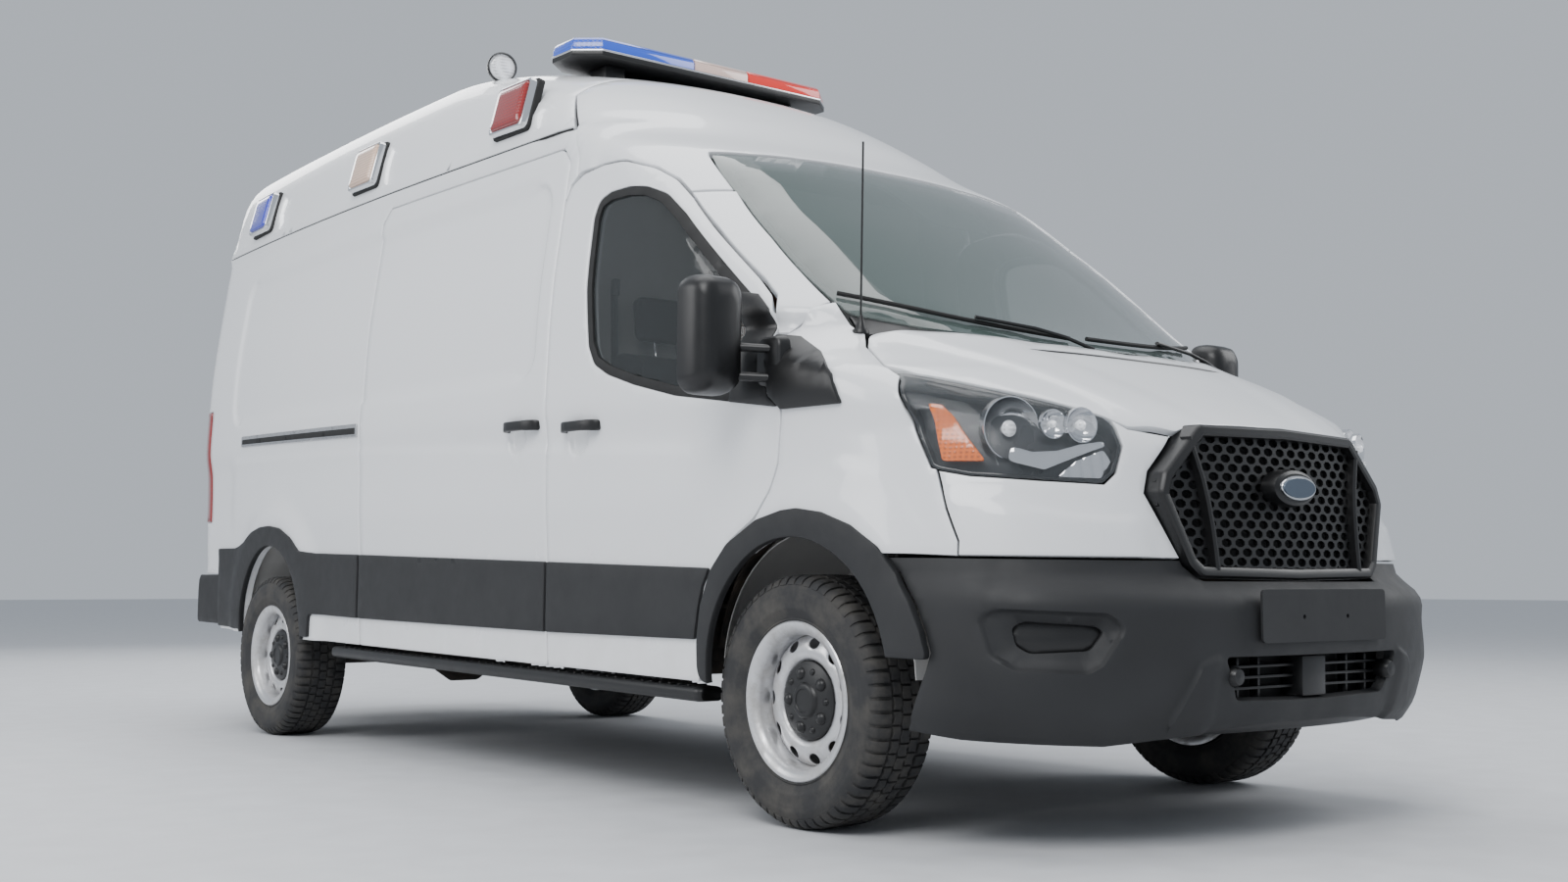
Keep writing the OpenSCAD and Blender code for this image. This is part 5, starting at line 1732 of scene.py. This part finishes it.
def make_side_lamps():
    first = True
    for side, s in SIDE_NAMES:
        for place, y, mat, slot in (("front", 1770, RED_LENS, "red_lamp"),
                                    ("middle", 3040, PEACH_LENS, "clear_lamp"),
                                    ("rear", 4330, BLUE_LENS, "blue_lamp")):
            centre = seen_side([(min(y, 4300), 2398)], side)
            n = normals(centre)[0]
            n = n + np.array([0, 0, 0.02])
            c = centre[0] + np.array([0, max(0, y - 4300), 0]) + n / norm(n) * 9

            def put(levels, w, h, r):
                return moved(lofted(stack(rounded_box(w, h, r), levels)), (0, side, 0), n, c)

            tag = f"{place}_{s}"
            solid("lamp_gasket_" + tag, put([(1, 1, -26), (1, 1, -4), (0.985, 0.98, -1)], 262, 210, 20),
                SEAL, node="warning_lights" if first else None)
            first = False
            frame_loops = stack(rounded_box(246, 194, 20), [(1, 1, -4), (1, 1, 18), (0.985, 0.98, 25),
                (0.955, 0.945, 27), (0.92, 0.90, 26), (0.89, 0.865, 20), (0.885, 0.86, 8)])
            solid("lamp_bezel_" + tag, moved(lofted_ring(frame_loops), (0, side, 0), n, c), CHROME,
                slot="chassis_steel")
            solid("lamp_lens_" + tag, put([(1, 1, 2), (1, 1, 22), (0.985, 0.975, 29), (0.93, 0.90, 34),
                (0.7, 0.62, 37)], 218, 166, 16), mat, slot=slot)


def make_work_lamp():
    n = np.array([-0.25, -1, -0.08])
    c = (-690, 2262, 2706)
    shell = spun([(58, 0), (60, 4), (60, 16), (55, 22), (54, 16), (54, 2), (48, -8), (50, 0), (58, 0)], 40)
    back = spun([(0.01, -66), (26, -62), (46, -44), (56, -18), (58, 0), (54, 4), (0.01, 4)], 40)
    for name, shape in (("work_lamp_rim", shell), ("work_lamp_shell", back)):
        solid(name, moved(shape, (1, 0, 0), n, c), SMOOTH_BLACK, smooth=50)
    lens = spun([(0.01, 17), (30, 15), (46, 11), (53.5, 6), (53.5, 0), (0.01, 0)], 40)
    solid("work_lamp_lens", moved(lens, (1, 0, 0), n, c), WHITE_LENS)
    tube("work_lamp_stem", [(-690, 2300, 2690), (-690, 2296, 2650), (-700, 2270, 2618)], 9, SMOOTH_BLACK)
    block("work_lamp_foot", (-725, 2225, 2604), (-675, 2310, 2632), SMOOTH_BLACK, 5)


# ---- Windshield fittings ----

def make_wipers():
    for name, ends, pivot in (("right", ((-790, 1520), (-150, 1412)), (-120, -345)),
                              ("left", ((-60, 1420), (640, 1470)), (690, -190))):
        (xa, za), (xb, zb) = ends
        line = np.array([(xa + (xb - xa) * t, za + (zb - za) * t - 16 * sin(pi * t)) for t in np.linspace(0,
            1, 18)])
        pts = seen_front(line)
        pts = pts + normals(pts) * 9
        tube("wiper_blade_" + name, pts, 7, SEAL, n=8)
        foot = seen_top([pivot])[0] + np.array([0, 0, 4])
        middle = pts[9] + normals(pts[9:10])[0] * 14
        half = (foot + middle) / 2
        half = half + np.array([0, -4, 14])
        tube("wiper_arm_" + name, [foot, foot + (half - foot) * 0.5 + [0, 0, 6], half, middle], 8,
            SMOOTH_BLACK, n=10, flat=0.7)
    base = seen_top([(-800, -68)])[0]
    cone = spun([(0.01, 46), (5, 44), (8, 30), (16, 8), (24, 1), (25, -8), (0.01, -8)], 28)
    solid("antenna_base", moved(cone, (1, 0, 0), (-0.05, -0.1, 1), base), SMOOTH_BLACK, smooth=50)
    tube("antenna_whip", [base + [0, 0, 40], base + [0, -2, 300], base + [0, -4, 548]], 3.2, SMOOTH_BLACK,
        n=8)


# ---- Rear bumper and step ----

def make_rear_bumper():
    path = rounded([(-916, 4562, 0), (-916, 4880, 80), (-820, 4915, 90), (820, 4915, 90), (916, 4880, 80),
        (916, 4562, 0), (872, 4562, 0), (872, 4830, 50), (790, 4872, 60), (-790, 4872, 60), (-872, 4830,
        50), (-872, 4562, 0)])
    path = path * [0.995, 1]
    loops = []
    for inset, z in ((10, 404), (2, 412), (0, 430), (0, 560), (3, 612), (10, 634), (16, 639)):
        q = grown(path, -inset * 0.8)
        loops.append(np.column_stack([q, np.full(len(q), z)]))
    solid("rear_bumper_shell", lofted(loops), TRIM, node="rear_bumper")

    def chassis(p):
        return np.asarray(p, float) - np.array([0, LEAD * 1000, 0])

    def on_chassis(name, low, high, mat, bevel):
        solid(name, cuboid(chassis(low), chassis(high)), mat, bevel=bevel, local=True)

    on_chassis("rear_step_tread", (-558, 4862, 404), (558, 4988, 424), ALUMINIUM, 4)
    on_chassis("rear_step_skirt", (-560, 4850, 394), (560, 4990, 408), SMOOTH_BLACK, 4)
    spots = [(x, y - LEAD * 1000, 423.5) for x in range(-520, 521, 52) for y in (4885, 4925, 4965)]
    turns = [(0, 0, 0.785 if (i // 3) % 2 else -0.785) for i in range(len(spots))]
    lugs = repeated(spots, turns, cuboid((-16, -3, 0), (16, 3, 3)), ALUMINIUM)
    solid("rear_step_lugs", lugs, ALUMINIUM, local=True)
    for s in (-1, 1):
        on_chassis(f"step_arm_{side_name(s)}", (min(s * 420, s * 470), 4500, 425), (max(s * 420, s * 470),
            4870, 475), CHASSIS, 5)
    ring = rounded_box(64, 64, 7)
    hole = rounded_box(51, 51, 4)
    loops = [np.column_stack([q[:, 0] * k, np.full(24, y), q[:, 1] * k + 362]) for q, k, y in ((ring, 1,
        4600), (ring, 1, 4938), (ring, 0.97, 4941), (hole, 1.03, 4941), (hole, 1, 4936), (hole, 1, 4700))]
    solid("tow_receiver", lofted([chassis(q) for q in loops]), CHASSIS, local=True)
    on_chassis("tow_crossbar", (-400, 4640, 396), (400, 4700, 452), CHASSIS, 6)


def make_liners():
    for side, s in SIDE_NAMES:
        for end, (cy, cz), low, high, x0, x1, radius, mat in (
                ("front", FRONT_ARCH, 6, 176, 500, 935, 466, LINER),
                ("rear", REAR_ARCH, 14, 166, 614, 925, 428, LINER)):
            arc = [radians(low + (high - low) * k / 28) for k in range(29)]
            loops = []
            for x, r in ((x0, radius - 30), (x0 + 8, radius - 6), (x0 + 40, radius), (x1 - 60, radius),
                         (x1 - 20, min(radius, 430)), (x1, 418 if end == "front" else 414)):
                inner = [(side * x, cy + (r - 2) * cos(a), cz + (r - 2) * sin(a)) for a in arc]
                outer = [(side * x, cy + (r + 2) * cos(a), cz + (r + 2) * sin(a)) for a in arc]
                loops.append(np.array(inner + outer[::-1]))
            solid(f"wheel_liner_{end}_{s}", lofted(loops), mat, slot="black_plastic", smooth=50)


make_wheels()
make_liners()
make_headlights()
make_grille()
make_lower_grille()
make_mirrors()
make_side_trim()
make_light_bar()
make_side_lamps()
make_work_lamp()
make_wipers()
make_rear_bumper()

# ---- Cab and load space ----

def swollen(size, soften, cap):
    """Points and faces of a stuffed pad of the given size about its centre, blown up as cloth."""
    bm = bmesh.new()
    bmesh.ops.create_cube(bm, size=1.0)
    bmesh.ops.scale(bm, vec=[(s - 2 * cap * 0.45) / 1000 for s in size], verts=bm.verts)
    bmesh.ops.bevel(bm, geom=bm.edges, offset=soften / 1000, segments=4, profile=0.5, affect="EDGES")
    obj = new_object("pad", ())
    bm.to_mesh(obj.data)
    bm.free()
    scene = bpy.context.scene

    def apply_one():
        shown = obj.evaluated_get(bpy.context.evaluated_depsgraph_get())
        done = bpy.data.meshes.new_from_object(shown)
        obj.modifiers.clear()
        obj.data = done

    remesh = obj.modifiers.new("remesh", "REMESH")
    remesh.mode, remesh.voxel_size = "VOXEL", 0.009
    apply_one()
    rest = mesh_points(obj.data)
    cloth = obj.modifiers.new("cloth", "CLOTH")
    cloth.settings.use_pressure = True
    cloth.settings.uniform_pressure_force = 4.0
    cloth.settings.effector_weights.gravity = 0.0
    cloth.settings.quality = 4
    cloth.settings.tension_stiffness = 20
    cloth.settings.compression_stiffness = 20
    for frame_number in range(1, 21):
        scene.frame_set(frame_number)
    apply_one()
    scene.frame_set(1)
    step = mesh_points(obj.data) - rest
    length = norm(step, axis=1)
    now = rest + step * (np.minimum(length, cap / 1000) / np.maximum(length, 1e-9))[:, None]
    obj.data.vertices.foreach_set("co", now.ravel())
    smooth = obj.modifiers.new("smooth", "SUBSURF")
    smooth.levels = smooth.render_levels = 1
    apply_one()
    out = mesh_points(obj.data) * 1000, [tuple(p.vertices) for p in obj.data.polygons]
    bpy.data.objects.remove(obj)
    return out


def leaned(pts, side):
    """Puts points of a seat back, from its lower front edge, at its lean."""
    a = radians(-7)
    p = np.array(pts, float)
    y = p[:, 1] * cos(a) - p[:, 2] * sin(a) + 1185
    z = p[:, 1] * sin(a) + p[:, 2] * cos(a) + 900
    return np.column_stack([side * p[:, 0], y, z])


def make_seats():
    cushion = swollen((490, 505, 106), 36, 16)
    back = swollen((470, 100, 590), 34, 14)
    rest = swollen((250, 76, 170), 26, 10)
    for side, s in SIDE_NAMES:
        p = cushion[0] * [side, 1, 1]
        crown = 1 - np.clip(np.hypot(p[:, 0] / 250, p[:, 1] / 255), 0, 1) ** 2
        p[:, 2] -= np.where(p[:, 2] > 0, 9 * np.exp(-(p[:, 0] / 130) ** 2) * crown, 0)
        groove = np.exp(-((np.abs(p[:, 0]) - 150) / 7) ** 2)
        p[:, 2] -= np.where(p[:, 2] > 0, 7 * groove * ease(np.abs(p[:, 1]), 245, 200), 0)
        pads = [("seat_cushion_", p + [side * 520, 920, 900], cushion[1])]
        p = back[0].copy()
        groove = np.exp(-((np.abs(p[:, 0]) - 145) / 7) ** 2) + np.exp(-((p[:, 2] - 60) / 7) ** 2)
        p[:, 1] += np.where(p[:, 1] < 0, 7 * np.minimum(groove, 1) * ease(np.abs(p[:, 2]), 285, 240), 0)
        pads.append(("seat_back_", leaned(p + [520, 56, 300], side), back[1]))
        pads.append(("head_rest_", leaned(rest[0] + [520, 60, 712], side), rest[1]))
        for name, pts, faces in pads:
            first = side == RIGHT and name == "seat_cushion_"
            piece = solid(name + s, (pts, faces), SEAT, node="cab_seats" if first else None, smooth=60)
        for x in (470, 570):
            path = leaned([(x, 58, 580), (x, 58, 600), (x, 60, 640)], side)
            tube(f"head_rest_post_{s}_{x}", path, 6, CHROME, slot="chassis_steel")
        lo, hi = sorted((side * 300, side * 740))
        block("seat_base_" + s, (lo, 735, 658), (hi, 1165, 842), CAB_DARK, 14)
        strap = [(side * 775, 1268, 1680), (side * 772, 1262, 1400), (side * 764, 1240, 1100), (side * 752,
            1180, 880)]
        tube("seat_belt_" + s, strap, 23, SEAT, n=12, flat=0.06)
        lo, hi = sorted((side * 758, side * 782))
        block("belt_guide_" + s, (lo, 1255, 1660), (hi, 1285, 1720), CAB_DARK, 6)


def make_dashboard():
    side_line = rounded([(-56, 905, 10), (295, 905, 30), (386, 1002, 50), (394, 1228, 40), (328, 1305, 40),
        (60, 1346, 30), (-56, 1316, 10)], 20)
    loops = []
    for x, k in ((-812, 0.985), (-806, 1.0), (-300, 1.0), (-120, 1.0), (120, 1.0), (300, 1.0), (806, 1.0),
                 (812, 0.985)):
        q = (side_line - [150, 1120]) * k + [150, 1120]
        loops.append(np.column_stack([np.full(len(q), x), q[:, 0], q[:, 1]]))
    solid("dashboard_shell", lofted(loops), CAB_DARK, node="dashboard", smooth=40)
    hood_line = rounded([(210, 1300, 8), (400, 1262, 16), (408, 1282, 10), (330, 1346, 24), (210, 1352,
        10)], 8)
    solid("gauge_hood", prism(hood_line, 235, 565, 0), CAB_DARK, bevel=10)
    block("gauge_glass", (255, 392, 1192), (545, 399, 1262), GLOSS_BLACK, 3)
    block("centre_screen", (-120, 388, 1150), (120, 402, 1290), GLOSS_BLACK, 6)
    block("centre_console", (-130, 300, 800), (130, 395, 1130), CAB_DARK, 20)
    knob = spun([(0.01, 18), (14, 17), (17, 12), (18, 0), (0.01, 0)], 24)
    solid("climate_knobs", merged(*[moved(knob, (1, 0, 0), (0, 1, 0), (x, 394, 1060)) for x in (-80, 0,
        80)]), SMOOTH_BLACK)
    spots, turns = [], []
    for x in (-700, -190, 190, 690):
        for k in range(5):
            spots.append((x, 396, 1175 + k * 16))
            turns.append((0.4, 0, 0))
        block(f"vent_{x}", (x - 68, 380, 1166), (x + 68, 392, 1248), SEAL, 4)
    slats = repeated(spots, turns, cuboid((-62, -3, -2), (62, 3, 2)), SMOOTH_BLACK)
    solid("vent_slats", slats, SMOOTH_BLACK)


def make_steering_wheel():
    tilt = radians(48)
    n = np.array([0, sin(tilt), cos(tilt)])
    centre = (400, 590, 1190)
    ring = spun([(190 + 14.5 * cos(a), 14.5 * sin(a)) for a in np.linspace(0, 2 * pi, 17)], 72)
    parts = [ring]
    for a in (90, 205, 335):
        u, v = cos(radians(a)), sin(radians(a))
        loops = []
        for r, w, t, h in ((30, 30, 16, -2), (80, 26, 12, -4), (130, 20, 9, -3), (183, 24, 9, 0)):
            q = rounded_box(w * 2, t, t * 0.45, 3)
            loops.append(np.column_stack([u * r - v * q[:, 0], v * r + u * q[:, 0], q[:, 1] + h]))
        parts.append(lofted(loops))
    pad = stack(rounded_box(124, 112, 34), [(0.9, 0.9, -26), (1, 1, -18), (1, 1, 4), (0.94, 0.93, 14),
        (0.75, 0.74, 19), (0.3, 0.3, 21)])
    parts.append(lofted(pad))
    solid("steering_wheel_rim", moved(merged(*parts), (1, 0, 0), n, centre), CAB_DARK,
        body="steering_wheel", node="steering_wheel", smooth=50)
    c = np.array(centre)
    tube("steering_column", [c - n * 36, c - n * 120, c - n * 240], 38, CAB_DARK, n=28)


def make_load_space():
    door_w, gap = 556, 4
    for name, z0, z1 in (("lower", 888, 1294), ("upper", 1312, 1872)):
        spots = [(438.5, 1490 + (k + 0.5) * (door_w + gap), 0) for k in range(5)]
        plate = cuboid((-7, -door_w / 2, z0), (0, door_w / 2, z1))
        doors = repeated(spots, np.zeros((5, 3)), plate, LAMINATE)
        solid(f"cupboard_doors_{name}", doors, LAMINATE, bevel=1.5)
        high = (z1 - 60) if name == "lower" else (z0 + 60)
        bar = cuboid((-24, -55, high - 6), (-8, 55, high + 6))
        pulls = repeated(spots, np.zeros((5, 3)), bar, ALUMINIUM)
        solid(f"cupboard_pulls_{name}", pulls, ALUMINIUM, bevel=3)
    block("bulkhead_frame_top", (-262, 1392, 1800), (262, 1399.5, 1824), SEAL, 3)
    block("bulkhead_frame_bottom", (-262, 1392, 1276), (262, 1399.5, 1300), SEAL, 3)
    for s in (-1, 1):
        lo, hi = sorted((s * 250, s * 274))
        block("bulkhead_frame_" + side_name(s), (lo, 1392, 1276), (hi, 1399.5, 1824), SEAL, 3)
    block("bench_pad", (-796, 2856, 1061), (-444, 4344, 1078), SEAT, 8)


def make_firewall():
    solid("firewall", prism([(-690, 885), (690, 885), (690, 1335), (560, 1386), (-560, 1386), (-690, 1335)],
        -128, -107, 1), TRIM, bevel=6)


make_seats()
make_dashboard()
make_steering_wheel()
make_load_space()
make_firewall()

# ---- Finishes of the carried-over CAD pieces ----

def finish_frame():
    finishes = {"floor_pan": CHASSIS, "front_subframe": CHASSIS, "rear_axle": CHASSIS,
        "exhaust_and_tank": CHASSIS, "engine": CHASSIS, "knuckle_right": CHASSIS, "knuckle_left": CHASSIS,
        "bulkhead": PALE_LAMINATE, "cabinets": LAMINATE}
    for name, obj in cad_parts.items():
        obj.data.materials.clear()
        obj.data.materials.append(finishes.get(name, TRIM))


finish_frame()
